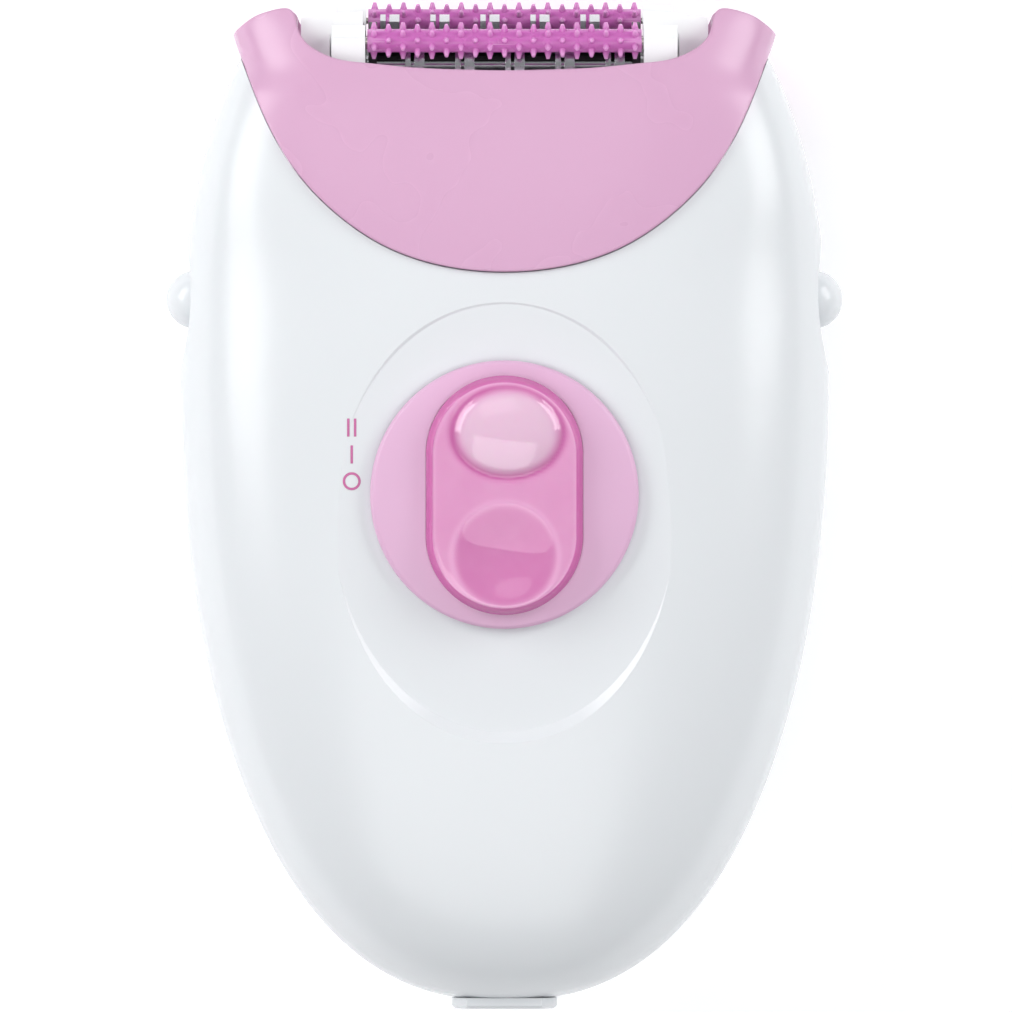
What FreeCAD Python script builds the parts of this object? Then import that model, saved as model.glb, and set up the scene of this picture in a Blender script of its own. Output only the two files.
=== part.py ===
import FreeCAD, Part
import math
import os
import re
import Sketcher

# Corded epilator lying on its back: +X to the right, +Y towards the head, +Z up through the front.
# Lengths along Y are given from the socket's end; the frame's origin is half_length further up.

V = FreeCAD.Vector
doc = FreeCAD.newDocument("epilator")
sheet = doc.addObject("Spreadsheet::Sheet", "dims")

DIMS = [
    ("half_length", 60.425, "half of the overall length"),
    ("parting_z", 19.0, "height of the seam between the shells"),
    ("wide_half", 38.9, "half width at the widest station"),
    ("wide_y", 75.4, "station of the widest section"),
    ("tail_reach", 74.44, "from the widest section to the tail's tip"),
    ("nose_reach", 60.6, "from the widest section to the imaginary nose"),
    ("front_crest", 18.6, "front half depth"),
    ("rear_crest", 19.5, "rear half depth before the resting facet"),
    ("deep_y", 62.0, "station of the deepest section"),
    ("deep_tail", 61.04, "from the deepest section to the tail's tip"),
    ("deep_nose", 66.0, "from the deepest section to the imaginary nose"),
    ("wall", 2.4, "shell wall"),
    ("neck_step", 1.0, "rebate under the collar"),
    ("collar_proud", 0.5, "collar above the shell"),
    ("seam_gap", 0.12, "gap between the collar and the shell"),
    ("neck_half", 24.6, "half width of the neck"),
    ("deck_low", 103.3, "underside of the top deck"),
    ("deck_top", 104.8, "top of the top deck"),
    ("head_base", 105.1, "underside of the head frame"),
    ("frame_half", 24.4, "half width of the head frame"),
    ("barrel_y", 111.4, "axis of the head's barrel-shaped ends"),
    ("recess_y", 58.8, "centre of the thumb recess"),
    ("recess_wide", 20.4, "half width of the thumb recess"),
    ("recess_long", 25.5, "half length of the thumb recess"),
    ("recess_tilt", 1.375, "tilt of the recess floor, degrees"),
    ("disc_y", 61.6, "centre of the switch disc at O"),
    ("disc_z", 36.11, "recess floor under the disc's centre"),
    ("disc_radius", 16.0, "switch disc"),
    ("pill_half", 9.35, "half width of the thumb button"),
    ("pill_straight", 4.9, "half of the straight side of the thumb button"),
    ("button_y", 85.0, "station of the release buttons"),
    ("dome_radius", 3.45, "release button"),
    ("dome_x", 37.1, "centre of the release button's dome"),
    ("scoop_radius", 16.0, "finger scoop"),
    ("scoop_x", 52.3, "centre of the finger scoop's sphere"),
    ("motor_y", 83.357, "motor axis"),
    ("motor_z", 18.0, "motor axis"),
    ("motor_radius", 10.0, "motor can"),
    ("motor_left", -19.0, "left end of the motor"),
    ("motor_right", 12.0, "right end of the motor"),
    ("idler_y", 94.173, "idler axis"),
    ("idler_z", 20.0, "idler axis"),
    ("output_y", 102.54, "output gear axis"),
    ("drum_y", 113.04, "tweezer drum axis"),
    ("drum_z", 18.5, "tweezer drum axis"),
    ("drum_half", 16.3, "half length of the tweezer drum"),
    ("blade_radius", 6.2, "tweezer tip circle"),
    ("core_radius", 4.2, "drum core"),
    ("hub_radius", 2.2, "floor of the drum core's channels"),
    ("chamber_radius", 6.9, "chamber around the drum"),
    ("rod_circle", 3.2, "circle of the push rods"),
    ("rod_radius", 0.6, "push rod"),
    ("tweezer_pitch", 6.0, "spacing of the tweezers along one rod"),
    ("front_roller_y", 115.9, "front roller axis"),
    ("front_roller_z", 27.03, "front roller axis"),
    ("rear_roller_y", 118.65, "rear roller axis"),
    ("rear_roller_z", 11.47, "rear roller axis"),
    ("roller_radius", 1.4, "roller body"),
    ("spike_radius", 2.2, "roller over its spikes"),
    ("roller_half", 16.4, "half length of a roller"),
    ("roller_axle", 0.4, "radius of a roller's axle"),
    ("gear_size", 0.5, "gear module"),
    ("gear_play", 0.05, "thinning of each gear tooth"),
    ("shaft_radius", 1.0, "motor shaft and idler axle"),
    ("drum_shaft_radius", 1.2, "drum shaft"),
    ("running_fit", 0.05, "radial clearance of turning parts"),
    ("socket_half", 6.3, "half width of the socket's collar"),
    ("pin_radius", 0.8, "socket pin, where it stands free"),
    ("pin_root", 1.1, "socket pin, where it sits in the housing"),
    ("pin_x", 2.2, "offset of a socket pin"),
    ("board_low", 26.0, "underside of the circuit board"),
    ("board_top", 27.2, "top of the circuit board"),
]

for row, (alias, number, note) in enumerate(DIMS, start=1):
    sheet.set("A%d" % row, alias)
    sheet.set("B%d" % row, str(number))
    sheet.set("C%d" % row, note)
    sheet.setAlias("B%d" % row, alias)
doc.recompute()

WORDS = re.compile(r"\b(%s)\b" % "|".join(alias for alias, number, note in DIMS))
NODES = []


def dim(alias):
    """A driving dimension, read from the sheet."""
    return float(sheet.get(alias))


def bind(obj, prop, expression):
    """Bind a property to an expression written in the sheet's words."""
    obj.setExpression(prop, WORDS.sub(r"dims.\1", str(expression)))


def node(obj, label):
    """Keep an object as a sub-part under its own label."""
    obj.Label = label
    NODES.append(obj)
    return obj


def at(obj, x, y, z):
    """Bind an object's position; y is given from the socket's end."""
    bind(obj, "Placement.Base.x", x)
    bind(obj, "Placement.Base.y", "(%s) - half_length" % y)
    bind(obj, "Placement.Base.z", z)
    return obj


def block(x, y, z):
    """A box between two bounds along each axis."""
    box = doc.addObject("Part::Box", "block")
    bind(box, "Length", "(%s) - (%s)" % (x[1], x[0]))
    bind(box, "Width", "(%s) - (%s)" % (y[1], y[0]))
    bind(box, "Height", "(%s) - (%s)" % (z[1], z[0]))
    return at(box, x[0], y[0], z[0])


def rod_x(x, y, z, radius):
    """A cylinder along X."""
    rod = doc.addObject("Part::Cylinder", "rod_x")
    rod.Placement = FreeCAD.Placement(V(), FreeCAD.Rotation(V(0, 1, 0), 90))
    bind(rod, "Radius", radius)
    bind(rod, "Height", "(%s) - (%s)" % (x[1], x[0]))
    return at(rod, x[0], y, z)


def rod_y(x, y, z, radius):
    """A cylinder along Y."""
    rod = doc.addObject("Part::Cylinder", "rod_y")
    rod.Placement = FreeCAD.Placement(V(), FreeCAD.Rotation(V(1, 0, 0), -90))
    bind(rod, "Radius", radius)
    bind(rod, "Height", "(%s) - (%s)" % (y[1], y[0]))
    return at(rod, x, y[0], z)


def rod_z(x, y, z, radius):
    """A cylinder along Z."""
    rod = doc.addObject("Part::Cylinder", "rod_z")
    bind(rod, "Radius", radius)
    bind(rod, "Height", "(%s) - (%s)" % (z[1], z[0]))
    return at(rod, x, y, z[0])


def ball(x, y, z, radius):
    """A sphere."""
    sphere = doc.addObject("Part::Sphere", "ball")
    bind(sphere, "Radius", radius)
    return at(sphere, x, y, z)


def fuse(*parts):
    """One solid from several."""
    result = doc.addObject("Part::MultiFuse", "fuse")
    result.Shapes = list(parts)
    return result


def common(base, tool):
    """What two solids share."""
    result = doc.addObject("Part::Common", "common")
    result.Base = base
    result.Tool = tool
    return result


def cut(base, *tools):
    """A solid with others taken away."""
    result = doc.addObject("Part::Cut", "cut")
    result.Base = base
    result.Tool = tools[0] if len(tools) == 1 else fuse(*tools)
    return result


def mirrored(part):
    """The same part on the other side."""
    result = doc.addObject("Part::Mirroring", "mirrored")
    result.Source = part
    result.Normal = V(1, 0, 0)
    return result


def group(*parts):
    """Several solids of one sub-part, side by side."""
    result = doc.addObject("Part::Compound", "group")
    result.Links = list(parts)
    return result


def formed(shape, label="form"):
    """A free-form solid given from the socket's end."""
    feature = doc.addObject("Part::Feature", label)
    feature.Shape = shape
    shift = FreeCAD.Placement(V(0, -dim("half_length"), 0), FreeCAD.Rotation())
    feature.Placement = shift.multiply(shape.Placement)
    return feature


def origin_plane(body, role):
    """One of a body's own origin planes."""
    return [item for item in body.Origin.OriginFeatures if item.Role == role][0]


def outline(body, points):
    """A closed sketch whose corners are bound to expressions."""
    sketch = body.newObject("Sketcher::SketchObject", "outline")
    sketch.AttachmentSupport = (origin_plane(body, "XY_Plane"), [""])
    sketch.MapMode = "FlatFace"
    count = len(points)
    rough = [V(20 * math.cos(2 * math.pi * k / count), 20 * math.sin(2 * math.pi * k / count), 0)
             for k in range(count)]
    for k in range(count):
        sketch.addGeometry(Part.LineSegment(rough[k], rough[(k + 1) % count]), False)
    for k in range(count):
        sketch.addConstraint(Sketcher.Constraint("Coincident", k, 2, (k + 1) % count, 1))
    for k, corner in enumerate(points):
        for kind, expression in zip(("DistanceX", "DistanceY"), corner):
            index = sketch.addConstraint(Sketcher.Constraint(kind, -1, 1, k, 1, 1.0 + k))
            bind(sketch, "Constraints[%d]" % index, expression)
    return sketch


def turned(points, x, y, z):
    """A part turned about a line along X, from corners given as (along, radius)."""
    body = doc.addObject("PartDesign::Body", "turned")
    sketch = outline(body, points)
    spin = body.newObject("PartDesign::Revolution", "spin")
    spin.Profile = sketch
    spin.ReferenceAxis = (sketch, ["H_Axis"])
    spin.Angle = 360
    sketch.Visibility = False
    return at(body, x, y, z)


def padded(points, z):
    """A plate whose outline is given as (x, y from the socket's end)."""
    body = doc.addObject("PartDesign::Body", "padded")
    sketch = outline(body, points)
    pad = body.newObject("PartDesign::Pad", "pad")
    pad.Profile = sketch
    bind(pad, "Length", "(%s) - (%s)" % (z[1], z[0]))
    return at(body, 0, 0, z[0])


# ---------------------------------------------------------------- the body's form

def falloff(ratio, inner, outer):
    """Superellipse falloff from 1 at the middle to 0 at the tip."""
    return max(1.0 - ratio ** inner, 0.0) ** (1.0 / outer)


def half_width(y, inset):
    """Half width of the body at a station."""
    width = dim("wide_half") - inset
    if y < dim("wide_y"):
        return width * falloff((dim("wide_y") - y) / (dim("tail_reach") - inset), 2.1, 2.4)
    return width * falloff((y - dim("wide_y")) / (dim("nose_reach") - inset), 2.4, 2.0)


def half_depth(y, inset, crest):
    """Depth of the body in front of or behind the seam at a station."""
    depth = dim(crest) - inset
    if y < dim("deep_y"):
        return depth * falloff((dim("deep_y") - y) / (dim("deep_tail") - inset), 2.2, 3.0)
    return depth * falloff((y - dim("deep_y")) / (dim("deep_nose") - inset), 2.3, 2.0)


def squareness(y):
    """The section's exponent: rounder at the hand, squarer at the head."""
    share = min(max((y - 85.0) / 27.0, 0.0), 1.0)
    return 2.5 + 1.5 * share * share * (3.0 - 2.0 * share)


def section(y, width, depth, over=0.0):
    """Half a section across the body, closed at the seam or past it; a negative depth is the rear half."""
    power = 2.0 / squareness(y)
    steps = 40
    side = math.copysign(1.0, depth)
    points = []
    for k in range(steps):
        angle = 2.0 * math.pi * k / steps
        across = 0.0 if k % 20 == 10 else math.copysign(abs(math.cos(angle)) ** power, math.cos(angle))
        up = 0.0 if k % 20 == 0 else math.copysign(abs(math.sin(angle)) ** power, math.sin(angle))
        points.append(V(width * across, y, dim("parting_z") + depth * up))
    curve = Part.BSplineCurve()
    curve.interpolate(Points=points, PeriodicFlag=True, Parameters=[k / steps for k in range(steps + 1)])
    curve.segment(0.0, 0.5)
    points = [points[0], points[steps // 2]]
    if not over:
        return Part.Wire([curve.toShape(), Part.makeLine(points[-1], points[0])])
    past = V(0, 0, -side * over)
    corners = [points[-1], points[-1] + past, points[0] + past, points[0]]
    return Part.Wire([curve.toShape()] + [Part.makeLine(a, b) for a, b in zip(corners, corners[1:])])


def stations(low, high):
    """Stations along the body, closer together towards the tail."""
    reach = dim("wide_y") - low
    tail = [low + reach * (1.0 - math.cos(math.radians(10 * k))) for k in range(10)]
    head = (83, 90, 97, 104, 111)
    return [y for y in tail if y < high - 3.0] + [y for y in head if y < high - 2.0] + [high]


def egg(side, inset, low, high, over=0.0):
    """The front (side 1) or rear (side -1) half of the body's form, taken in by an inset."""
    crest = "front_crest" if side > 0 else "rear_crest"
    wires = []
    for y in stations(low, high):
        wires.append(section(y, half_width(y, inset), side * half_depth(y, inset, crest), over))
    return Part.makeLoft(wires, True, False)


def collar_form(side):
    """Half of the collar's outside: proud of the body, with horns that flare a little."""
    proud = -dim("collar_proud")
    crest = "front_crest" if side > 0 else "rear_crest"
    flare = {114.6: 31.95, 117.0: 32.6, 119.0: 32.75, 121.0: 32.8}
    wires = []
    for y in (84.0, 91.0, 98.0, 105.0, 110.0, 114.6, 117.0, 119.0, 121.0):
        wires.append(section(y, flare.get(y, half_width(y, proud)), side * half_depth(y, proud, crest)))
    return Part.makeLoft(wires, True, False)


def spline(points):
    """A smooth edge through points of the front view."""
    curve = Part.BSplineCurve()
    curve.interpolate([V(x, y, 0) for x, y in points])
    return curve.toShape()


def both_sides(points):
    """Points of the right half, run through to the left half."""
    return points + [(-x, y) for x, y in reversed(points) if x > 0]


def prism(edges, low, high):
    """A closed outline of the front view, extruded along Z."""
    face = Part.Face(Part.Wire(edges))
    face.translate(V(0, 0, low))
    return face.extrude(V(0, 0, high - low))


def seam_curve(drop):
    """The crescent seam between the collar and the shell."""
    points = [(36.5, 127.0), (33.9, 119.9), (31.8, 114.6), (28.9, 107.2), (24.9, 100.2), (19.8, 94.9),
              (14.0, 91.1), (7.2, 88.85), (0.0, 88.15)]
    return both_sides([(x, y - drop) for x, y in points])


def above_seam(drop):
    """Everything on the head's side of the crescent seam."""
    points = seam_curve(drop)
    top = 140.0
    corners = [V(*points[-1], 0), V(-60, top, 0), V(60, top, 0), V(*points[0], 0)]
    edges = [spline(points)] + [Part.makeLine(a, b) for a, b in zip(corners, corners[1:])]
    return prism(edges, -5.0, 50.0)


def below_rim(lip):
    """Everything under the collar's upper edge, horns and lip included."""
    horn = [(34.6, 113.4), (33.4, 115.3), (32.5, 116.7), (31.9, 117.35), (31.1, 118.0), (29.8, 118.85),
            (28.1, 119.45), (26.7, 119.75), (25.7, 119.65)]
    points = both_sides(horn + lip)
    corners = [V(*points[-1], 0), V(-40, 80, 0), V(40, 80, 0), V(*points[0], 0)]
    edges = [spline(points)] + [Part.makeLine(a, b) for a, b in zip(corners, corners[1:])]
    return prism(edges, -5.0, 50.0)


FRONT_LIP = [(24.95, 118.6), (24.75, 117.5), (24.3, 116.4), (23.6, 115.5), (22.5, 114.7), (20.7, 113.85),
             (16.1, 113.1), (11.7, 112.65), (5.5, 112.35), (0.0, 112.25)]
REAR_LIP = [(24.95, 119.1), (24.6, 118.3), (23.4, 117.6), (20.9, 117.2), (14.3, 116.8),
            (7.8, 116.65), (0.0, 116.6)]

over_seam = formed(above_seam(dim("seam_gap")))


def thumb_recess():
    """The tongue-shaped recess: a tilted floor inside an elliptic rim with sloping sides."""
    wires = []
    for grow, height in ((0.0, 0.0), (8.5, 5.0)):
        ellipse = Part.Ellipse(V(), dim("recess_long") + grow, dim("recess_wide") + grow)
        wire = Part.Wire([ellipse.toShape()])
        wire.rotate(V(), V(0, 0, 1), 90)
        wire.translate(V(0, 0, height))
        wires.append(wire)
    tool = Part.makeLoft(wires, True, True)
    tool.rotate(V(), V(1, 0, 0), dim("recess_tilt"))
    drop = (dim("disc_y") - dim("recess_y")) * math.tan(math.radians(dim("recess_tilt")))
    tool.translate(V(0, dim("recess_y"), dim("disc_z") - drop))
    return tool


def screw_spots():
    """The shell's two screws, the board's four and the chassis's four, as (x, y)."""
    return ([(x, 36) for x in (-20.5, 20.5)], [(x, y) for x in (-11, 11) for y in (26, 50)],
            [(x, y) for x in (-16, 9) for y in (74.6, 92)])


def shell_half(side, extras):
    """One shell: hollow form, rebated neck, button bosses and the extras that stand inside it."""
    outer = formed(egg(side, 0.0, 1.3, 118.0))
    inner = formed(egg(side, dim("wall"), 4.6, 119.5, 1.0))
    rebate = formed(egg(side, dim("neck_step"), 3.0, 118.0))
    low = cut(cut(outer, inner), over_seam)
    neck = common(cut(rebate, inner), block(("-neck_half", "neck_half"), (84, "deck_top"), (-2, 45)))
    z = ("parting_z", 45) if side > 0 else (-5, "parting_z")
    bosses = fuse(rod_x((33.5, 36.8), "button_y", "parting_z", 6.5),
                  rod_x((-36.8, -33.5), "button_y", "parting_z", 6.5))
    return fuse(low, neck, common(fuse(*extras), rebate), common(bosses, block((-50, 50), (70, 100), z)))


def button_tools():
    """Finger scoops, button holes and the socket's mouth, shared by both shells."""
    scoops = [ball(x, "button_y", "parting_z", "scoop_radius") for x in ("scoop_x", "-scoop_x")]
    holes = [rod_x((30, 60), "button_y", "parting_z", "dome_radius + 0.15"),
             rod_x((-60, -30), "button_y", "parting_z", "dome_radius + 0.15")]
    mouth = common(rod_y(0, (-1, 9), "parting_z", 5.15),
                   block((-6, 6), (-1, 9), ("parting_z - 3.55", "parting_z + 3.55")))
    return scoops + holes + [mouth]


def shells():
    """The two shells, which meet at the seam."""
    shell_spots, board_spots, foot_spots = screw_spots()
    extras = [rod_z(x, y, ("parting_z + 0.05", 35), 3.0) for x, y in shell_spots]
    extras += [rod_z(x, y, ("board_top", 35), 2.0) for x, y in board_spots]
    extras.append(block((-12, 12), (47, 77), (33.8, 36.3)))
    tools = [rod_z(x, y, (15, 28), 1.3) for x, y in shell_spots]
    tools += [rod_z(x, y, ("board_top - 1", 31.5), 0.85) for x, y in board_spots]
    tools += [block((-2.5, 2.5), (58.1, 70.9), (30, 45)), formed(thumb_recess())]
    tools.append(block((-60, 60), (-5, 140), ("parting_z - 1", "parting_z + 0.05")))
    node(cut(shell_half(1, extras), *(button_tools() + tools)), "front_shell")
    extras = [rod_z(x, y, (1.5, "parting_z"), 3.0) for x, y in shell_spots]
    extras += [rod_z(x, y, (1.0, 6.2), 2.4) for x, y in foot_spots]
    tools = [rod_z(x, y, (-2, 20), 1.3) for x, y in shell_spots]
    tools += [rod_z(x, y, (-2, 8.0), 2.75) for x, y in shell_spots]
    tools += [rod_z(x, y, (2.6, 7.0), 1.05) for x, y in foot_spots]
    tools.append(block((-60, 60), (-10, 140), (-10, 0)))
    node(cut(shell_half(-1, extras), *(button_tools() + tools)), "rear_shell")


def shell_screws():
    """Two screws from the back into the front shell's pillars."""
    screws = [fuse(rod_z(x, 36, (6.0, 7.9), 2.5), rod_z(x, 36, (7.9, 26), 1.25)) for x in (-20.5, 20.5)]
    slots = [block(("%s - 2" % x, "%s + 2" % x), (35.6, 36.4), (5.5, 6.8)) for x in (-20.5, 20.5)]
    node(group(*[cut(screw, slot) for screw, slot in zip(screws, slots)]), "shell_screws")


shells()
shell_screws()


# ---------------------------------------------------------------- the head's collar

def collars():
    """The pink collar in two halves, hollow between its horns."""
    for side, lip, label in ((1, FRONT_LIP, "collar_front"), (-1, REAR_LIP, "collar_rear")):
        inner = formed(egg(side, dim("neck_step") - dim("seam_gap"), 30.0, 122.0, 1.0))
        hollow = common(inner, block((-24.85, 24.85), (84, 125), (-5, 50)))
        trimmed = common(common(formed(collar_form(side)), formed(above_seam(0.0))), formed(below_rim(lip)))
        ring = cut(trimmed, hollow)
        if side > 0:
            ring = cut(ring, block((-60, 60), (80, 130), ("parting_z - 1", "parting_z + 0.04")))
        node(ring, label)


collars()


# ---------------------------------------------------------------- the head's frame and rollers

def head_frame():
    """End blocks, base and chamber walls, with two hooks that reach through the deck."""
    forms = [formed(egg(side, 1.0, 60.0, 121.5)) for side in (1, -1)]
    width = ("-frame_half", "frame_half")
    barrel = turned([("-frame_half", 0), ("-frame_half", 7.45), (-20.5, 8.05), (-16.4, 8.3), (16.4, 8.3),
                     (20.5, 8.05), ("frame_half", 7.45), ("frame_half", 0)], 0, "barrel_y", "drum_z")
    outside = fuse(barrel, block(width, ("head_base", 112.0), (0, 40)),
                   block(width, ("head_base", 115.2), (0, "drum_z")))
    blank = fuse(*[common(form, block(width, ("head_base", 121), (0, 40))) for form in forms])
    chamber = rod_x((-16.95, 16.5), "drum_y", "drum_z", "chamber_radius")
    well = block((-16.95, 16.5), ("drum_y", 125), ("drum_z - chamber_radius", "drum_z + chamber_radius"))
    front_step = block((-20.9, 20.9), (112.0, 125), (24.4, 40))
    rear_step = block((-20.4, 20.4), (115.2, 125), (0, 14.0))
    front_gap = block((-16.6, 16.6), (112.0, 125), (22, 40))
    rear_gap = block((-16.6, 16.6), (115.2, 125), (0, 16.0))
    gear_room = rod_x((16.4, 18.9), "drum_y", "drum_z", 6.3)
    gear_slot = block((16.4, 18.9), (104, "drum_y"), (13.0, 24.0))
    gear_top = block((16.4, 18.9), ("drum_y", 115.4), ("drum_z - 6.3", "drum_z + 6.3"))
    cam_room = rod_x((-18.75, -16.6), "drum_y", "drum_z", 5.3)
    bores = rod_x((-21.0, 21.0), "drum_y", "drum_z", 2.5)
    body = cut(common(blank, outside), chamber, well, front_step, rear_step, front_gap, rear_gap, gear_room, gear_slot,
               gear_top, cam_room, bores)
    hooks = []
    for side in (1, -1):
        arm = (22.4, 24.0) if side > 0 else (-24.0, -22.4)
        nose = (21.6, 22.4) if side > 0 else (-22.4, -21.6)
        hooks.append(block(arm, (95.5, "head_base + 0.4"), (23.4, 26.0)))
        hooks.append(block(nose, (95.5, 97.0), (23.4, 26.0)))
    node(fuse(body, *hooks), "head_frame")


def roller_posts(place, x, y, z, round_z):
    """Two posts with bored eyes that carry the front or rear massage roller."""
    axle_y = "%s_roller_y" % place
    axle_z = "%s_roller_z" % place
    posts = []
    for side in (1, -1):
        span = x if side > 0 else (-x[1], -x[0])
        post = block(span, y, z)
        eye = rod_x(span, axle_y, axle_z, round_z)
        hole = rod_x((span[0] - 1, span[1] + 1), axle_y, axle_z, "roller_axle + 0.01")
        posts.append(cut(fuse(post, eye), hole))
    node(group(*posts), "%s_roller_posts" % place)


def roller_axle(place):
    """A steel axle held in the posts."""
    profile = [(-18.8, 0), (-18.8, "roller_axle"), (18.8, "roller_axle"), (18.8, 0)]
    node(turned(profile, 0, "%s_roller_y" % place, "%s_roller_z" % place), "%s_roller_axle" % place)


def roller_shape():
    """A massage roller: staggered rows of blunt spikes on a bored cylinder."""
    half = dim("roller_half")
    hole = dim("roller_axle") + dim("running_fit")
    barrel = Part.makeCylinder(dim("roller_radius"), 2 * half, V(-half, 0, 0), V(1, 0, 0))
    spikes = []
    for row in range(12):
        turn = math.radians(30 * row)
        out = V(0, math.cos(turn), math.sin(turn))
        shift = 0.0 if row % 2 == 0 else 0.5
        for k in range(10 - row % 2):
            x = (k + shift - 4.5) * 3.47
            height = dim("spike_radius") - 1.15
            spikes.append(Part.makeCone(0.5, 0.2, height, V(x, 0, 0) + out * 1.15, out))
    bore = Part.makeCylinder(hole, 2 * half + 2, V(-half - 1, 0, 0), V(1, 0, 0))
    return barrel.multiFuse(spikes).cut(bore)


def roller(place, shape):
    """One massage roller in its place."""
    feature = doc.addObject("Part::Feature", "roller")
    feature.Shape = shape
    node(at(feature, 0, "%s_roller_y" % place, "%s_roller_z" % place), "%s_roller" % place)


def massage_rollers():
    """Both rollers with their axles and posts."""
    roller_posts("front", (16.65, 20.7), (112.05, 116.2), (24.9, 29.2), 1.85)
    roller_posts("rear", (16.65, 20.2), (115.25, 118.9), (9.3, 12.5), 1.85)
    shape = roller_shape()
    for place in ("front", "rear"):
        roller_axle(place)
        roller(place, shape)


head_frame()
massage_rollers()


# ---------------------------------------------------------------- gears

def involute(angle):
    """The involute function."""
    return math.tan(angle) - angle


def gear_shape(teeth, x, phase, bore):
    """A spur gear about X with 25 degree flanks; phase is the angle of one tooth's middle."""
    size = dim("gear_size")
    pressure = math.radians(25)
    pitch_radius = teeth * size / 2.0
    base_radius = pitch_radius * math.cos(pressure)
    tip = pitch_radius + size
    root = pitch_radius - 1.25 * size
    half_tooth = (math.pi * size / 2.0 - dim("gear_play")) / 2.0 / pitch_radius

    def half_angle(radius):
        """Half of the tooth's angle at a radius."""
        if radius <= base_radius:
            return half_tooth + involute(pressure)
        return half_tooth + involute(pressure) - involute(math.acos(base_radius / radius))

    def point(radius, angle):
        """A point of the outline."""
        return V(x[0], radius * math.cos(angle), radius * math.sin(angle))

    edges = []
    step = 2.0 * math.pi / teeth
    middle = (max(root, base_radius) + tip) / 2.0
    for k in range(teeth):
        centre = phase + k * step
        marks = [(root, -1), (middle, -1), (tip, -1), (tip, 1), (middle, 1), (root, 1)]
        ring = [point(radius, centre + side * half_angle(radius)) for radius, side in marks]
        valley = centre + step / 2.0
        following = point(root, centre + step - half_angle(root))
        edges.append(Part.Arc(ring[0], ring[1], ring[2]).toShape())
        edges.append(Part.Arc(ring[2], point(tip, centre), ring[3]).toShape())
        edges.append(Part.Arc(ring[3], ring[4], ring[5]).toShape())
        edges.append(Part.Arc(ring[5], point(root, valley), following).toShape())
    solid = Part.Face(Part.Wire(edges)).extrude(V(x[1] - x[0], 0, 0))
    hole = Part.makeCylinder(bore, x[1] - x[0] + 2, V(x[0] - 1, 0, 0), V(1, 0, 0))
    return solid.cut(hole)


def meshing_phase(phase, teeth, other_teeth, direction):
    """The phase of a gear that meshes with another one seen in a direction."""
    step = 2.0 * math.pi / teeth
    offset = (phase - direction + step / 2.0) % step - step / 2.0
    return direction + math.pi - offset * teeth / other_teeth + math.pi / other_teeth


def gear_train():
    """Drum gear, output gear, two-step idler and motor pinion, all in mesh."""
    fit = dim("running_fit")
    drum_phase = math.pi
    output_phase = meshing_phase(drum_phase, 22, 20, math.pi)
    to_idler = math.atan2(dim("idler_z") - dim("drum_z"), dim("idler_y") - dim("output_y"))
    small_phase = meshing_phase(output_phase, 20, 14, to_idler)
    to_motor = math.atan2(dim("motor_z") - dim("idler_z"), dim("motor_y") - dim("idler_y"))
    pinion_phase = meshing_phase(0.0, 32, 12, to_motor)
    drum_gear = gear_shape(22, (16.75, 18.4), drum_phase, dim("drum_shaft_radius"))
    output = gear_shape(20, (16.9, 18.2), output_phase, 0.75 + fit)
    small = gear_shape(14, (16.4, 18.2), small_phase, dim("shaft_radius") + fit)
    large = gear_shape(32, (14.2, 16.4), 0.0, dim("shaft_radius") + fit)
    pinion = gear_shape(12, (14.2, 16.4), pinion_phase, dim("shaft_radius"))
    places = [("drum_gear", drum_gear, "drum_y", "drum_z"), ("output_gear", output, "output_y", "drum_z"),
              ("idler_gear", large.fuse(small), "idler_y", "idler_z"),
              ("motor_pinion", pinion, "motor_y", "motor_z")]
    for label, shape, y, z in places:
        feature = doc.addObject("Part::Feature", label)
        feature.Shape = shape
        node(at(feature, 0, y, z), label)


gear_train()


# ---------------------------------------------------------------- the tweezer drum

def fan(x, inner, outer, half, middle):
    """A thin segment of a ring about X."""
    start = math.radians(middle - half)
    end = math.radians(middle + half)
    centre = math.radians(middle)

    def point(radius, angle):
        """A point of the segment's outline."""
        return V(x[0], radius * math.cos(angle), radius * math.sin(angle))

    edges = [Part.Arc(point(outer, start), point(outer, centre), point(outer, end)).toShape(),
             Part.makeLine(point(outer, end), point(inner, end)),
             Part.Arc(point(inner, end), point(inner, centre), point(inner, start)).toShape(),
             Part.makeLine(point(inner, start), point(outer, start))]
    return Part.Face(Part.Wire(edges)).extrude(V(x[1] - x[0], 0, 0))


def rod_line(turn, radius, x):
    """A cylinder along X on the push rods' circle."""
    angle = math.radians(turn)
    place = V(x[0], dim("rod_circle") * math.cos(angle), dim("rod_circle") * math.sin(angle))
    return Part.makeCylinder(radius, x[1] - x[0], place, V(1, 0, 0))


def on_drum(shape, label):
    """Put a shape about the drum's axis."""
    feature = doc.addObject("Part::Feature", label)
    feature.Shape = shape
    return node(at(feature, 0, "drum_y", "drum_z"), label)


ROD_TURNS = (0, 90, 180, 270)


def tweezer_starts(turn):
    """Left ends of the tweezers on one rod; neighbouring rods are staggered."""
    shift = 0.0 if turn in ROD_TURNS[::2] else dim("tweezer_pitch") / 2.0
    return [-14.9 + shift + k * dim("tweezer_pitch") for k in range(5)]


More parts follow.
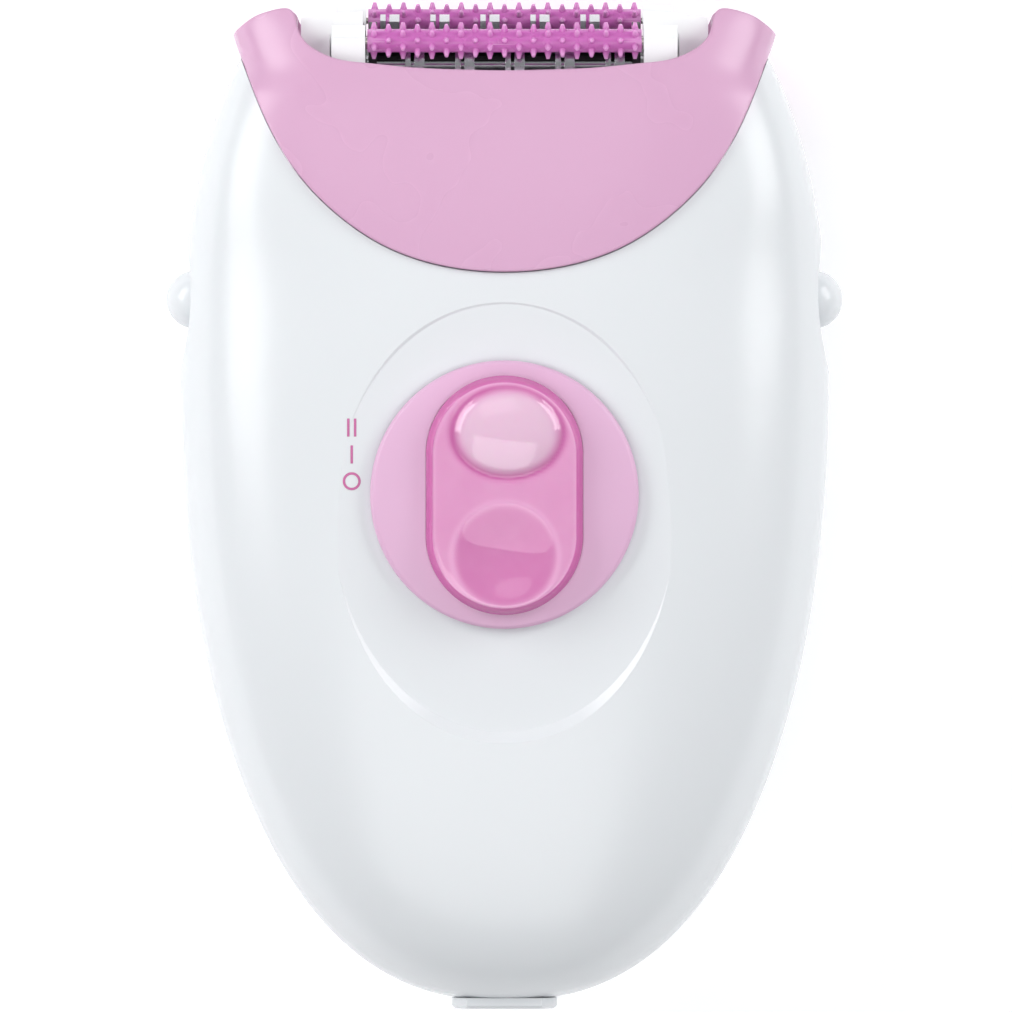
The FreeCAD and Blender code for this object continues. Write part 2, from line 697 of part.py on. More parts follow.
def tweezer_drum():
    """Core with four channels, fixed tweezers, and four sliding sets."""
    hub = dim("hub_radius")
    outer = dim("blade_radius")
    core = Part.makeCylinder(dim("core_radius"), 30.6, V(-15.3, 0, 0), V(1, 0, 0))
    channels = [fan((-16, 16), hub, 5.0, 33, turn) for turn in ROD_TURNS]
    bore = Part.makeCylinder(dim("drum_shaft_radius"), 40, V(-20, 0, 0), V(1, 0, 0))
    on_drum(core.cut(channels + [bore]), "drum_core")
    guides = [rod_line(turn, dim("rod_radius") + 0.1, (-20, 20)) for turn in ROD_TURNS]
    ends = []
    for low in (-dim("drum_half"), dim("drum_half") - 1.0):
        disc = Part.makeCylinder(5.3, 1.0, V(low, 0, 0), V(1, 0, 0))
        ends.append(disc.cut(guides + [bore]))
    on_drum(Part.makeCompound(ends), "drum_ends")
    fixed = []
    for number, turn in enumerate(ROD_TURNS, start=1):
        moving = rod_line(turn, dim("rod_radius"), (-16.45, 15.7))
        blades = []
        for start in tweezer_starts(turn):
            blades.append(fan((start, start + 0.65), hub + 0.15, outer, 30.5, turn))
            plate = fan((start + 1.1, start + 2.3), hub, outer, 32, turn)
            fixed.append(plate.cut(rod_line(turn, dim("rod_radius") + 0.1, (-20, 20))))
        on_drum(moving.multiFuse(blades), "tweezer_slide_%d" % number)
    on_drum(Part.makeCompound(fixed), "fixed_tweezers")


def drum_shaft():
    """The drum's shaft, turned down at its ends."""
    points = [(-20.9, 0), (-20.9, "drum_shaft_radius"), (20.9, "drum_shaft_radius"), (20.9, 0)]
    node(turned(points, 0, "drum_y", "drum_z"), "drum_shaft")


def drum_bushes():
    """Two bearing bushes in the end blocks."""
    right = turned([(19.1, "drum_shaft_radius + running_fit"), (19.1, 2.48), (20.95, 2.48),
                    (20.95, "drum_shaft_radius + running_fit")], 0, "drum_y", "drum_z")
    node(group(right, mirrored(right)), "drum_bushes")


def closing_cam():
    """The fixed cam that pushes the tweezer slides as they pass the skin."""
    disc = turned([(-18.7, 1.5), (-18.7, 5.2), (-16.9, 5.2), (-16.9, 1.5)], 0, "drum_y", "drum_z")
    lobe = turned([(-16.9, 2.4), (-16.9, 4.6), (-16.62, 4.2), (-16.62, 2.8)], 0, "drum_y", "drum_z")
    upper = block((-18, -16), ("drum_y + 0.5", "drum_y + 7"), ("drum_z - 7", "drum_z + 7"))
    node(fuse(disc, common(lobe, upper)), "closing_cam")


tweezer_drum()
drum_shaft()
drum_bushes()
closing_cam()


# ---------------------------------------------------------------- chassis, deck and drive

def top_deck():
    """The deck that closes the body under the head, with room for the gear and the hooks."""
    forms = [formed(egg(side, dim("wall") + 0.12, 60.0, 112.0)) for side in (1, -1)]
    blank = fuse(*[common(form, block((-24.3, 24.3), ("deck_low", "deck_top"), (0, 40))) for form in forms])
    slot = block((16.4, 20.6), (100, 108), (13.0, 24.2))
    hooks = [block((21.4, 24.5), (100, 108), (23.1, 26.3)), block((-24.5, -21.4), (100, 108), (23.1, 26.3))]
    holes = [rod_y(-19.75, (100, 108), z, 0.85) for z in (12.0, 19.0)]
    node(cut(blank, slot, *(hooks + holes)), "top_deck")


def chassis():
    """A folded carrier: floor and two side plates that hold the motor and the axles."""
    floor = block((-20.6, 13.6), (72.6, 94), (6.2, 7.6))
    right = block(("motor_right", 13.6), (72.6, "deck_low"), (6.2, 28.5))
    left = block((-20.6, "motor_left"), (72.6, "deck_low"), (6.2, 28.5))
    seat = rod_x((-21.5, -20.6), "button_y", "parting_z", 2.4)
    blank = fuse(floor, right, left, seat)
    trims = [block((11, 15), (94, 110), (0, 11)), block((-22, -18), (94, 110), (0, 11)),
             block((-22, -18), (96.5, 99.7), (21.8, 30))]
    holes = [rod_x((11, 15), "motor_y", "motor_z", 3.1), rod_x((11, 15), "idler_y", "idler_z", 1.0)]
    slots = [block((-22, -18), ("motor_y - 1.4", "motor_y + 1.4"), (z, z + 1.2)) for z in (10.4, 24.4)]
    screws = [rod_x((11, 15), "motor_y", z, 0.85) for z in (12.0, 24.0)]
    feet = [rod_z(x, y, (5, 8), 1.15) for x in (-16, 9) for y in (74.6, 92)]
    deck = [rod_y(-19.75, (97, 104), z, 0.6) for z in (12.0, 19.0)]
    node(cut(blank, *(trims + holes + slots + screws + feet + deck)), "chassis")


def chassis_screws():
    """Four screws through the chassis floor and two through the deck."""
    feet = [fuse(rod_z(x, y, (3.0, 7.6), 1.0), rod_z(x, y, (7.6, 8.6), 1.9))
            for x in (-16, 9) for y in (74.6, 92)]
    node(group(*feet), "chassis_screws")
    deck = [fuse(rod_y(-19.75, (98.5, 104.8), z, 0.58), rod_y(-19.75, (104.8, 105.0), z, 1.1))
            for z in (12.0, 19.0)]
    node(group(*deck), "deck_screws")


def on_motor(x, inner, outer):
    """A ring or rod turned about the motor's axis."""
    return turned([(x[0], inner), (x[0], outer), (x[1], outer), (x[1], inner)], 0, "motor_y", "motor_z")


def motor():
    """A brushed motor: can, end cap, magnets, terminals and screws."""
    bore = "shaft_radius + running_fit"
    wall = on_motor(("motor_left", "motor_right"), "motor_radius - 0.7", "motor_radius")
    end = on_motor(("motor_right - 1", "motor_right"), bore, "motor_radius - 0.35")
    collar = on_motor(("motor_right - 0.5", 13.4), bore, 3.0)
    taps = [rod_x((10, 13), "motor_y", z, 0.75) for z in (12.0, 24.0)]
    node(cut(fuse(wall, end, collar), *taps), "motor_can")
    cap = on_motor(("motor_left", "motor_left + 1.6"), bore, "motor_radius - 0.72")
    doors = [block((-20, -17), ("motor_y - 1.2", "motor_y + 1.2"), (z, z + 0.8)) for z in (10.6, 24.6)]
    node(cut(cap, *doors), "motor_end_cap")
    ring = on_motor((-13, 9.5), 7.7, 9.2)
    gaps = block((-14, 10), ("motor_y - 20", "motor_y + 20"), ("motor_z - 2.4", "motor_z + 2.4"))
    node(cut(ring, gaps), "motor_magnets")
    tabs = [block((-23.0, -16.2), ("motor_y - 1.15", "motor_y + 1.15"), (z + 0.05, z + 0.65))
            for z in (10.6, 24.6)]
    node(group(*tabs), "motor_terminals")
    screws = [fuse(rod_x((10.6, 13.6), "motor_y", z, 0.7), rod_x((13.6, 14.0), "motor_y", z, 1.5))
              for z in (12.0, 24.0)]
    node(group(*screws), "motor_screws")


def rotor():
    """The parts that turn inside the motor."""
    node(on_motor((-18.8, 16.8), 0, "shaft_radius"), "motor_shaft")
    core = on_motor((-11.5, 8), "shaft_radius", 7.2)
    slots = [formed(rotor_slot(turn)) for turn in (90, 210, 330)]
    node(cut(core, *slots), "rotor_core")
    node(on_motor((-16.2, -12.2), "shaft_radius", 2.6), "commutator")


def rotor_slot(turn):
    """A winding slot of the rotor, given from the socket's end."""
    slot = Part.makeBox(22, 1.6, 4.2, V(-12.5, -0.8, 4.0))
    slot.rotate(V(), V(1, 0, 0), turn)
    slot.translate(V(0, dim("motor_y"), dim("motor_z")))
    return slot


def gear_cover():
    """The cover plate over the gears, with the seat of a button spring."""
    spots = ((80.5, 25.5), (101.6, 27.0), (88.0, 11.6))
    cover = block((19.0, 20.2), (78.5, "deck_low"), (9.8, 28.5))
    lug = block((19.0, 20.2), ("deck_low - 0.5", 104.6), (16.5, 20.5))
    seat = rod_x((20.2, 21.5), "button_y", "parting_z", 2.4)
    spacers = [rod_x((13.6, 19.0), y, z, 1.5) for y, z in spots]
    notch = block((18, 22), (96.5, 99.7), (21.8, 30))
    holes = [rod_x((18, 22), "idler_y", "idler_z", 1.0), rod_x((18, 22), "output_y", "drum_z", 0.75)]
    bolts = [rod_x((13, 22), y, z, 0.75) for y, z in spots]
    node(cut(fuse(cover, lug, seat, *spacers), notch, *(holes + bolts)), "gear_cover")
    screws = [fuse(rod_x((13.7, 20.2), y, z, 0.7), rod_x((20.2, 20.7), y, z, 1.4)) for y, z in spots]
    node(group(*screws), "gear_cover_screws")


def gear_axles():
    """The fixed axles of the idler and of the output gear."""
    node(group(rod_x(("motor_right + 0.2", 20.2), "idler_y", "idler_z", 1.0),
               rod_x((16.6, 20.2), "output_y", "drum_z", 0.75)), "gear_axles")


top_deck()
chassis()
chassis_screws()
motor()
rotor()
gear_cover()
gear_axles()


# ---------------------------------------------------------------- release buttons

def release_button():
    """A domed button with a flange behind the shell and a long stem."""
    barrel = turned([(27.5, 0), (27.5, 1.5), (31.9, 1.5), (31.9, 4.6), (33.2, 4.6), (33.2, "dome_radius"),
                     ("dome_x", "dome_radius"), ("dome_x", 0)], 0, "button_y", "parting_z")
    dome = ball("dome_x", "button_y", "parting_z", "dome_radius")
    return fuse(barrel, common(dome, block((36, 45), (75, 95), (5, 35))))


def catch_plate():
    """The catch that the button pushes: a plate, two arms and the bar over the head's hook."""
    plate = block((26.0, 27.5), (82, 98.8), (16.0, 27.1))
    arms = [block((19.9, 26.2), (97.3, 98.8), z) for z in ((22.3, 23.15), (26.25, 27.1))]
    bar = block((19.9, 21.4), (97.3, 98.8), (22.3, 27.1))
    window = block((25, 29), (89, 95.5), (18.5, 24.5))
    return cut(fuse(plate, bar, *arms), window)


def spring_shape():
    """A coil spring about X, with its ends inside the seats' faces."""
    helix = Part.makeHelix(1.05, 4.2, 1.55)
    helix.rotate(V(), V(0, 1, 0), 90)
    start = helix.Vertexes[0].Point
    profile = Part.Wire([Part.Circle(start, V(0, 1, 0.1), 0.2).toShape()])
    sweep = Part.Wire(helix.Edges).makePipeShell([profile], True, True)
    return sweep


def release_parts():
    """Both release buttons with their catches and springs."""
    button = release_button()
    node(button, "right_release_button")
    node(mirrored(button), "left_release_button")
    catch = catch_plate()
    node(catch, "right_catch_plate")
    node(mirrored(catch), "left_catch_plate")
    shape = spring_shape()
    shape.translate(V(21.65, dim("button_y"), dim("parting_z")))
    coil = formed(shape)
    node(coil, "right_button_spring")
    node(mirrored(coil), "left_button_spring")


release_parts()


# ---------------------------------------------------------------- switch

def on_recess(obj):
    """Put a part of the switch on the tilted recess floor."""
    obj.Placement = FreeCAD.Placement(V(), FreeCAD.Rotation(V(1, 0, 0), dim("recess_tilt")))
    return at(obj, 0, "disc_y", "disc_z")


def local_block(x, y, z):
    """A box in the switch's own frame."""
    box = doc.addObject("Part::Box", "block")
    for prop, bounds in (("Length", x), ("Width", y), ("Height", z)):
        bind(box, prop, "(%s) - (%s)" % (bounds[1], bounds[0]))
    for axis, bounds in zip("xyz", (x, y, z)):
        bind(box, "Placement.Base.%s" % axis, bounds[0])
    return box


def dome_profile():
    """Half of the switch disc's section: flat below, rounded edge, low dome."""
    radius = dim("disc_radius")
    rim = V(radius - 0.35, 0, 0.2)
    side = V(radius, 0, 0.75)
    edge = V(radius - 0.55, 0, 1.45)
    top = V(0, 0, 3.3)
    edges = [Part.makeLine(V(0, 0, 0.2), rim), Part.Arc(rim, V(radius - 0.06, 0, 0.42), side).toShape(),
             Part.Arc(side, V(radius - 0.12, 0, 1.18), edge).toShape(),
             Part.Arc(edge, V(radius * 0.52, 0, 2.87), top).toShape(), Part.makeLine(top, V(0, 0, 0.2))]
    return Part.Face(Part.Wire(edges))


def stadium(half, straight, low, high):
    """A long round-ended pad along Y."""
    right = [V(half, -straight, low), V(half, straight, low)]
    left = [V(-half, straight, low), V(-half, -straight, low)]
    edges = [Part.makeLine(*right), Part.Arc(right[1], V(0, straight + half, low), left[0]).toShape(),
             Part.makeLine(*left), Part.Arc(left[1], V(0, -straight - half, low), right[0]).toShape()]
    return Part.Face(Part.Wire(edges)).extrude(V(0, 0, high - low))


def switch_button_shape():
    """The translucent thumb button: rounded pad with a raised bubble and a thumb dish."""
    half = dim("pill_half")
    straight = dim("pill_straight")
    pad = stadium(half, straight, 2.0, 4.9)
    upper = [edge for edge in pad.Edges if edge.BoundBox.ZMin > 4.8]
    pad = pad.makeFillet(1.1, upper)
    hollow = Part.makeSphere(26.0, V(0, -6.3, 4.35 + 26.0 - 0.75))
    pad = pad.cut(hollow)
    bubble = Part.makeSphere(8.6, V(0, 7.0, 4.9 + 0.9 - 8.6))
    pad = pad.fuse(bubble.common(stadium(half - 2.6, 2.0, 2.0, 8.0).translated(V(0, 6.0, 0))))
    return pad


def switch():
    """The sliding disc, its thumb button, the slider under the shell and its contact."""
    disc = dome_profile().revolve(V(), V(0, 0, 1), 360)
    seat = stadium(dim("pill_half") + 0.02, dim("pill_straight"), 1.98, 6.0)
    disc_part = doc.addObject("Part::Feature", "switch_disc")
    disc_part.Shape = disc.cut(seat)
    node(on_recess(disc_part), "switch_disc")
    pill = doc.addObject("Part::Feature", "switch_button")
    pill.Shape = switch_button_shape()
    node(on_recess(pill), "switch_button")
    neck = local_block((-2.3, 2.3), (-3.3, 2.9), (-3.4, 0.2))
    plate = local_block((-6, 6), (-4.6, 6.2), (-4.4, -3.1))
    leg = local_block((-1.4, 1.4), (-1.1, 0.9), (-6.1, -4.0))
    node(on_recess(fuse(neck, plate, leg)), "switch_slider")
    node(on_recess(group(local_block((-1.3, 1.3), (-1.3, 1.1), (-6.45, -6.1)))), "switch_contact")


switch()


# ---------------------------------------------------------------- board, switch body, socket and leads

def circuit_board():
    """The board under the switch, with its parts and screws."""
    holes = [rod_z(x, y, (25, 29), 0.9) for x in (-11, 11) for y in (26, 50)]
    outline_points = [(-14, 30), (-10, 22), (10, 22), (14, 30), (14, 72), (-14, 72)]
    plate = padded(outline_points, ("board_low", "board_top"))
    node(cut(plate, *holes), "circuit_board")
    screws = [fuse(rod_z(x, y, ("board_low", 31), 0.8), rod_z(x, y, ("board_low - 0.9", "board_low"), 1.6))
              for x in (-11, 11) for y in (26, 50)]
    node(group(*screws), "board_screws")
    parts = [rod_z(-5, 34, (17.5, "board_low"), 3.1), rod_z(6, 36, (19, "board_low"), 2.6),
             block((-6, 4), (54, 60), (24.2, "board_low")), block((6.5, 10), (57, 63), (23.4, "board_low")),
             block((-11, -8), (62, 68), (22.5, "board_low")), block((-3, 3), (44, 48), (24.9, "board_low"))]
    node(group(*parts), "board_components")
    body = block((-4.5, 4.5), (56.8, 71.6), ("board_top", 31.0))
    slot = block((-1.7, 1.7), (59.6, 69.6), (29.2, 32))
    node(cut(body, slot), "switch_housing")


def power_socket():
    """The inlet at the tail: oval collar, housing behind it and two pins."""
    outer = common(rod_y(0, (0, 1.3), "parting_z", "socket_half"),
                   block((-7, 7), (0, 1.3), ("parting_z - 4.4", "parting_z + 4.4")))
    barrel = common(rod_y(0, (1.2, 13), "parting_z", 5.05),
                    block((-6, 6), (1.2, 13), ("parting_z - 3.45", "parting_z + 3.45")))
    recess = common(rod_y(0, (-1, 10), "parting_z", 4.4),
                    block((-5, 5), (-1, 10), ("parting_z - 2.75", "parting_z + 2.75")))
    eyes = [rod_y(x, (9, 14), "parting_z", "pin_root") for x in ("pin_x", "-pin_x")]
    flange = common(rod_y(0, (9.2, 10.6), "parting_z", 7.2),
                    block((-7.2, 7.2), (9.2, 10.6), ("parting_z - 5", "parting_z + 5")))
    rounded = doc.addObject("Part::Chamfer", "softened")
    rounded.Base = outer
    doc.recompute()
    rounded.Edges = [(k + 1, 0.35, 0.35) for k, edge in enumerate(outer.Shape.Edges)
                     if edge.BoundBox.YMax < -dim("half_length") + 0.01]
    node(cut(fuse(rounded, barrel, flange), recess, *eyes), "power_socket")
    pins = []
    for x in ("pin_x", "-pin_x"):
        pin = turned([(0, 0), (0, 0.5), (0.5, "pin_radius"), (5.4, "pin_radius"), (5.4, "pin_root"),
                      (10.4, "pin_root"), (10.4, 0)], 0, 0, 0)
        pin.Placement = FreeCAD.Placement(V(), FreeCAD.Rotation(V(0, 0, 1), 90))
        pins.append(at(pin, x, 4.6, "parting_z"))
    node(group(*pins), "socket_pins")


def lead(points, bend, radius):
    """A round wire along straight runs joined by tangent arcs."""
    edges = []
    last = V(*points[0])
    for before, corner, after in zip(points, points[1:], points[2:]):
        corner = V(*corner)
        back = (V(*before) - corner).normalize()
        ahead = (V(*after) - corner).normalize()
        turn = math.pi - back.getAngle(ahead)
        trim = bend * math.tan(turn / 2.0)
        first = corner + back * trim
        final = corner + ahead * trim
        inward = (back + ahead).normalize()
        middle = corner + inward * (bend / math.cos(turn / 2.0) - bend)
        edges.append(Part.makeLine(last, first))
        edges.append(Part.Arc(first, middle, final).toShape())
        last = final
    edges.append(Part.makeLine(last, V(*points[-1])))
    path = Part.Wire(edges)
    heading = V(*points[1]) - V(*points[0])
    profile = Part.Wire([Part.Circle(V(*points[0]), heading, radius).toShape()])
    return path.makePipeShell([profile], True, False)


def leads():
    """Wires from the socket to the board and from the board to the motor."""
    supply = [lead([(x, 15.2, 19), (x, 30.5, 19), (x, 30.5, 25.95)], 3.0, 0.5) for x in (-2.2, 2.2)]
    node(formed(Part.makeCompound(supply)), "socket_leads")
    end = dim("motor_y") - 1.2
    drive = [lead([(-9.5, 70.5, 25.95), (-9.5, 70.5, 21.5), (-22.4, 70.5, 21.5), (-22.4, 77.0, 24.95),
                   (-22.4, end, 24.95)], 1.3, 0.45),
             lead([(-6.5, 69.0, 25.95), (-6.5, 69.0, 15.0), (-22.4, 69.0, 15.0), (-22.4, 76.0, 10.95),
                   (-22.4, end, 10.95)], 1.3, 0.45)]
    node(formed(Part.makeCompound(drive)), "motor_leads")


circuit_board()
power_socket()
leads()


# ---------------------------------------------------------------- checks and export

def check_all():
    """Stop if any object failed or any sub-part is empty or broken."""
    for obj in doc.Objects:
        if "Invalid" in obj.State or "Error" in obj.State:
            raise RuntimeError("%s (%s) did not recompute: %s" % (obj.Label, obj.Name, obj.State))
    for obj in NODES:
        if obj.Shape.isNull() or not obj.Shape.isValid() or not obj.Shape.Solids:
            raise RuntimeError("%s has no valid solid" % obj.Label)
        if min(solid.Volume for solid in obj.Shape.Solids) <= 0:
            raise RuntimeError("%s has an empty solid" % obj.Label)


def export_all():
    """Write each sub-part to its own file."""
    os.makedirs("parts", exist_ok=True)
    for obj in NODES:
        obj.Shape.exportStep(os.path.join("parts", obj.Label + ".step"))
        print("%-22s %4d solids %10.1f mm3" % (obj.Label, len(obj.Shape.Solids), obj.Shape.Volume))


doc.recompute()
check_all()
export_all()
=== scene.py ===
"""Looks and studio of a handheld epilator with massage rollers and a slide switch."""

import math

import bmesh
import bpy
from bpy.props import FloatProperty, FloatVectorProperty, PointerProperty
from mathutils import Matrix, Vector
from mathutils.bvhtree import BVHTree


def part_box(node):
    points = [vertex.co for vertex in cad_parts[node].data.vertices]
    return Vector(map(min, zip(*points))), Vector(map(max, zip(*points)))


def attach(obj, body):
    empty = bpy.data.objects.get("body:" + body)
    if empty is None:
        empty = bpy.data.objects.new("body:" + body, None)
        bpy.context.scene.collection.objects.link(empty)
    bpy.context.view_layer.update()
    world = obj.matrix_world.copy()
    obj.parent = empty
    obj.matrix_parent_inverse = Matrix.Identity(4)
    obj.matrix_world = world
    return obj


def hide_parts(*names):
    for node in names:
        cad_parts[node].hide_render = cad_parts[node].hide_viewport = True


bl_info = {
    "name": "Epilator looks",
    "version": (1, 0, 0),
    "blender": (4, 5, 0),
    "location": "View3D > Sidebar > Epilator",
    "description": "Finishes, thumb button, printed marks and studio for the epilator",
    "category": "Object",
}

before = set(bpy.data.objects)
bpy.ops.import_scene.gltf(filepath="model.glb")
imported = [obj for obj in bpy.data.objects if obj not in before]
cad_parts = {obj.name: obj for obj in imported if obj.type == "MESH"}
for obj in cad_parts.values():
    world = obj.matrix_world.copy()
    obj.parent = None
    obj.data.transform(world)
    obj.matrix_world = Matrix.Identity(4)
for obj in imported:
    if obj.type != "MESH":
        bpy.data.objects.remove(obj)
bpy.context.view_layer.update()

MM = 0.001
SWITCH_TILT = math.radians(1.375)
BUTTON_FOOT = 2.0 * MM  # the CAD button's underside over the recess floor
BUBBLE = (0.4, 7.5, 6.2, 5.1)  # middle and half sizes on the button's top, across and along, in mm
DISH = (0.1, -7.2, 6.1, 6.1)  # the same for the thumb dish
MARKS_UP = 8.0 * MM  # the upper mark over the disc's middle


def linear(code):
    """Linear colour from an sRGB hex code."""
    shares = [int(code[k:k + 2], 16) / 255.0 for k in (0, 2, 4)]
    return tuple(s / 12.92 if s <= 0.04045 else ((s + 0.055) / 1.055) ** 2.4 for s in shares)


def colour(name, code, description):
    """A colour a user may change."""
    return FloatVectorProperty(name=name, description=description, subtype="COLOR", size=3,
                               min=0.0, max=1.0, default=linear(code))


def length(name, millimetres, description):
    """A size a user may change."""
    return FloatProperty(name=name, description=description, unit="LENGTH", min=0.0,
                         default=millimetres * MM)


class EpilatorColours(bpy.types.PropertyGroup):
    """Colours of the finishes."""

    shell: colour("Shell", "E6E9EC", "White moulded shell")
    collar: colour("Collar", "DAABCB", "Pink collar around the head")
    disc: colour("Switch disc", "E4B7D7", "Pale pink sliding disc")
    button: colour("Thumb button", "EFB0D8", "Thin parts of the clear thumb button")
    # Also the painted shade in the thumb dish and in the moat round the bubble.
    button_deep_and_painted_shade: colour("Thumb button, deep", "CE62A9", "Thick parts of the clear thumb button")
    roller: colour("Rollers", "CC70BC", "Massage rollers")
    # Paler colour on the spike tips: a painted highlight.
    roller_tip_highlight: colour("Roller tips", "E8B0DE", "Worn tips of the massage rollers")
    marks: colour("Marks", "CF6FA6", "Printed switch marks")


class EpilatorSizes(bpy.types.PropertyGroup):
    """Sizes of the pieces that are added to the CAD parts."""

    mark_gap: length("Mark gap", 2.2, "From the switch disc's edge to the middle of the marks")
    mark_pitch: length("Mark pitch", 3.2, "Between the middles of neighbouring marks")
    mark_height: length("Mark height", 2.15, "Height of a bar and outside width of the ring")
    mark_line: length("Mark line", 0.3, "Width of the printed lines")
    bubble_height: length("Bubble height", 1.15, "Height of the raised bubble over the button's top")
    dish_depth: length("Dish depth", 0.85, "Depth of the thumb dish in the button's top")
    wall_slant: length("Wall slant", 0.75, "How far the button's wall leans inwards")


class EpilatorStudio(bpy.types.PropertyGroup):
    """Camera and light."""

    distance: FloatProperty(name="Camera distance", description="From the camera to the seam plane",
                            unit="LENGTH", default=2.5)
    focal: FloatProperty(name="Focal length", description="Focal length of the camera, in millimetres",
                         default=741.1)
    left: FloatProperty(name="Left softbox", description="Power of the left softbox", unit="POWER",
                        default=3.9)
    right: FloatProperty(name="Right softbox", description="Power of the right softbox", unit="POWER",
                         default=3.4)
    top: FloatProperty(name="Top softbox", description="Power of the top softbox", unit="POWER",
                       default=0.7)
    overhead: FloatProperty(name="Overhead softbox", description="Power of the large overhead softbox",
                            unit="POWER", default=6.2)
    room: FloatProperty(name="Room light", description="Strength of the light from all round",
                        default=0.33)


# ---------------------------------------------------------------- nodes and materials

def add(tree, kind, inputs=None, **settings):
    """Add a node, set its settings, and set or link its inputs."""
    node = tree.nodes.new(kind)
    for name, value in settings.items():
        setattr(node, name, value)
    for key, value in (inputs or {}).items():
        if isinstance(value, bpy.types.NodeSocket):
            tree.links.new(value, node.inputs[key])
        else:
            node.inputs[key].default_value = value
    return node


def start(name):
    """A new material with its output, its shader and the surface's own coordinates."""
    material = bpy.data.materials.new(name)
    material.use_nodes = True
    tree = material.node_tree
    tree.nodes.clear()
    output = add(tree, "ShaderNodeOutputMaterial")
    shader = add(tree, "ShaderNodeBsdfPrincipled")
    tree.links.new(shader.outputs["BSDF"], output.inputs["Surface"])
    place = add(tree, "ShaderNodeTexCoord").outputs["Object"]
    return material, tree, shader, place


def rgba(shares):
    """A colour with full alpha."""
    return (shares[0], shares[1], shares[2], 1.0)


def shaded(shares, factor):
    """A colour made darker or lighter."""
    return (shares[0] * factor, shares[1] * factor, shares[2] * factor, 1.0)


def mottle(tree, place, grain, low, high, shares):
    """A colour that drifts a little from place to place; grain is the drift's size in metres."""
    drift = add(tree, "ShaderNodeTexNoise", {"Vector": place, "Scale": 1.0 / grain, "Detail": 3.0,
                                              "Roughness": 0.55})
    mix = add(tree, "ShaderNodeMix", {0: drift.outputs["Fac"], 6: shaded(shares, low),
                                      7: shaded(shares, high)}, data_type="RGBA")
    return mix.outputs[2]


def spread(tree, place, grain, low, high):
    """A number between low and high that drifts over the surface."""
    drift = add(tree, "ShaderNodeTexNoise", {"Vector": place, "Scale": 1.0 / grain, "Detail": 2.0})
    return add(tree, "ShaderNodeMapRange", {"Value": drift.outputs["Fac"], "From Min": 0.2,
                                            "From Max": 0.8, "To Min": low, "To Max": high},
               clamp=False).outputs[0]


def relief(tree, place, grain, depth, strength, rounding=0.05 * MM):
    """A bump of grains of a real size over edges that look rounded, all in metres."""
    grains = add(tree, "ShaderNodeTexNoise", {"Vector": place, "Scale": 1.0 / grain, "Detail": 2.0})
    edges = add(tree, "ShaderNodeBevel", {"Radius": rounding}, samples=6)
    return add(tree, "ShaderNodeBump", {"Height": grains.outputs["Fac"], "Distance": depth,
                                        "Strength": strength, "Normal": edges.outputs[0]}).outputs[0]


def moulded_plastic(name, shares, roughness, ior=1.53, grain=0.9, depth=0.006, strength=0.15,
                    drift=0.015, scatter=0.0, rounding=0.12):
    """A moulded plastic: even colour, a film of gloss, the mould's fine grain and edge rounding in mm."""
    material, tree, shader, place = start(name)
    tree.links.new(mottle(tree, place, 24.0 * MM, 1.0 - drift, 1.0 + drift, shares),
                   shader.inputs["Base Color"])
    tree.links.new(spread(tree, place, 14.0 * MM, roughness * 0.92, roughness * 1.08),
                   shader.inputs["Roughness"])
    tree.links.new(relief(tree, place, grain * MM, depth * MM, strength, rounding * MM),
                   shader.inputs["Normal"])
    shader.inputs["IOR"].default_value = ior
    if scatter:
        shader.inputs["Subsurface Weight"].default_value = scatter
        shader.inputs["Subsurface Radius"].default_value = (1.0, 0.7, 0.8)
        shader.inputs["Subsurface Scale"].default_value = 1.2 * MM
    return material


def metal(name, shares, roughness, stretch=(1.0, 1.0, 1.0), grain=0.25, depth=0.004, drift=0.04):
    """A metal: tinted mirror whose roughness and relief run along the tool's path."""
    material, tree, shader, place = start(name)
    path = add(tree, "ShaderNodeMapping", {"Vector": place, "Scale": stretch}).outputs[0]
    tree.links.new(mottle(tree, path, 3.0 * MM, 1.0 - drift, 1.0 + drift, shares),
                   shader.inputs["Base Color"])
    tree.links.new(spread(tree, path, grain * MM, roughness * 0.8, roughness * 1.25),
                   shader.inputs["Roughness"])
    tree.links.new(relief(tree, path, grain * MM, depth * MM, 0.3), shader.inputs["Normal"])
    shader.inputs["Metallic"].default_value = 1.0
    return material


def white_gloss_abs(colours):
    """ABS from a polished mould, 1.2 mm grain of a faint orange peel: clean broad highlights."""
    return moulded_plastic("white_gloss_abs", colours.shell, 0.24, grain=1.2, depth=0.004,
                           strength=0.12, drift=0.008, scatter=0.06)


def pink_gloss_abs(colours):
    """Tinted ABS from a polished mould: soft broad highlights along its rolled edges."""
    return moulded_plastic("pink_gloss_abs", colours.collar, 0.27, grain=1.4, depth=0.004,
                           strength=0.12, drift=0.006, scatter=0.12, rounding=0.6)


def pink_satin_abs(colours):
    """Tinted ABS from a lightly sanded mould, 0.35 mm grain: a matt dome without sharp glints."""
    return moulded_plastic("pink_satin_abs", colours.disc, 0.42, grain=0.35, depth=0.006,
                           strength=0.2, scatter=0.12)


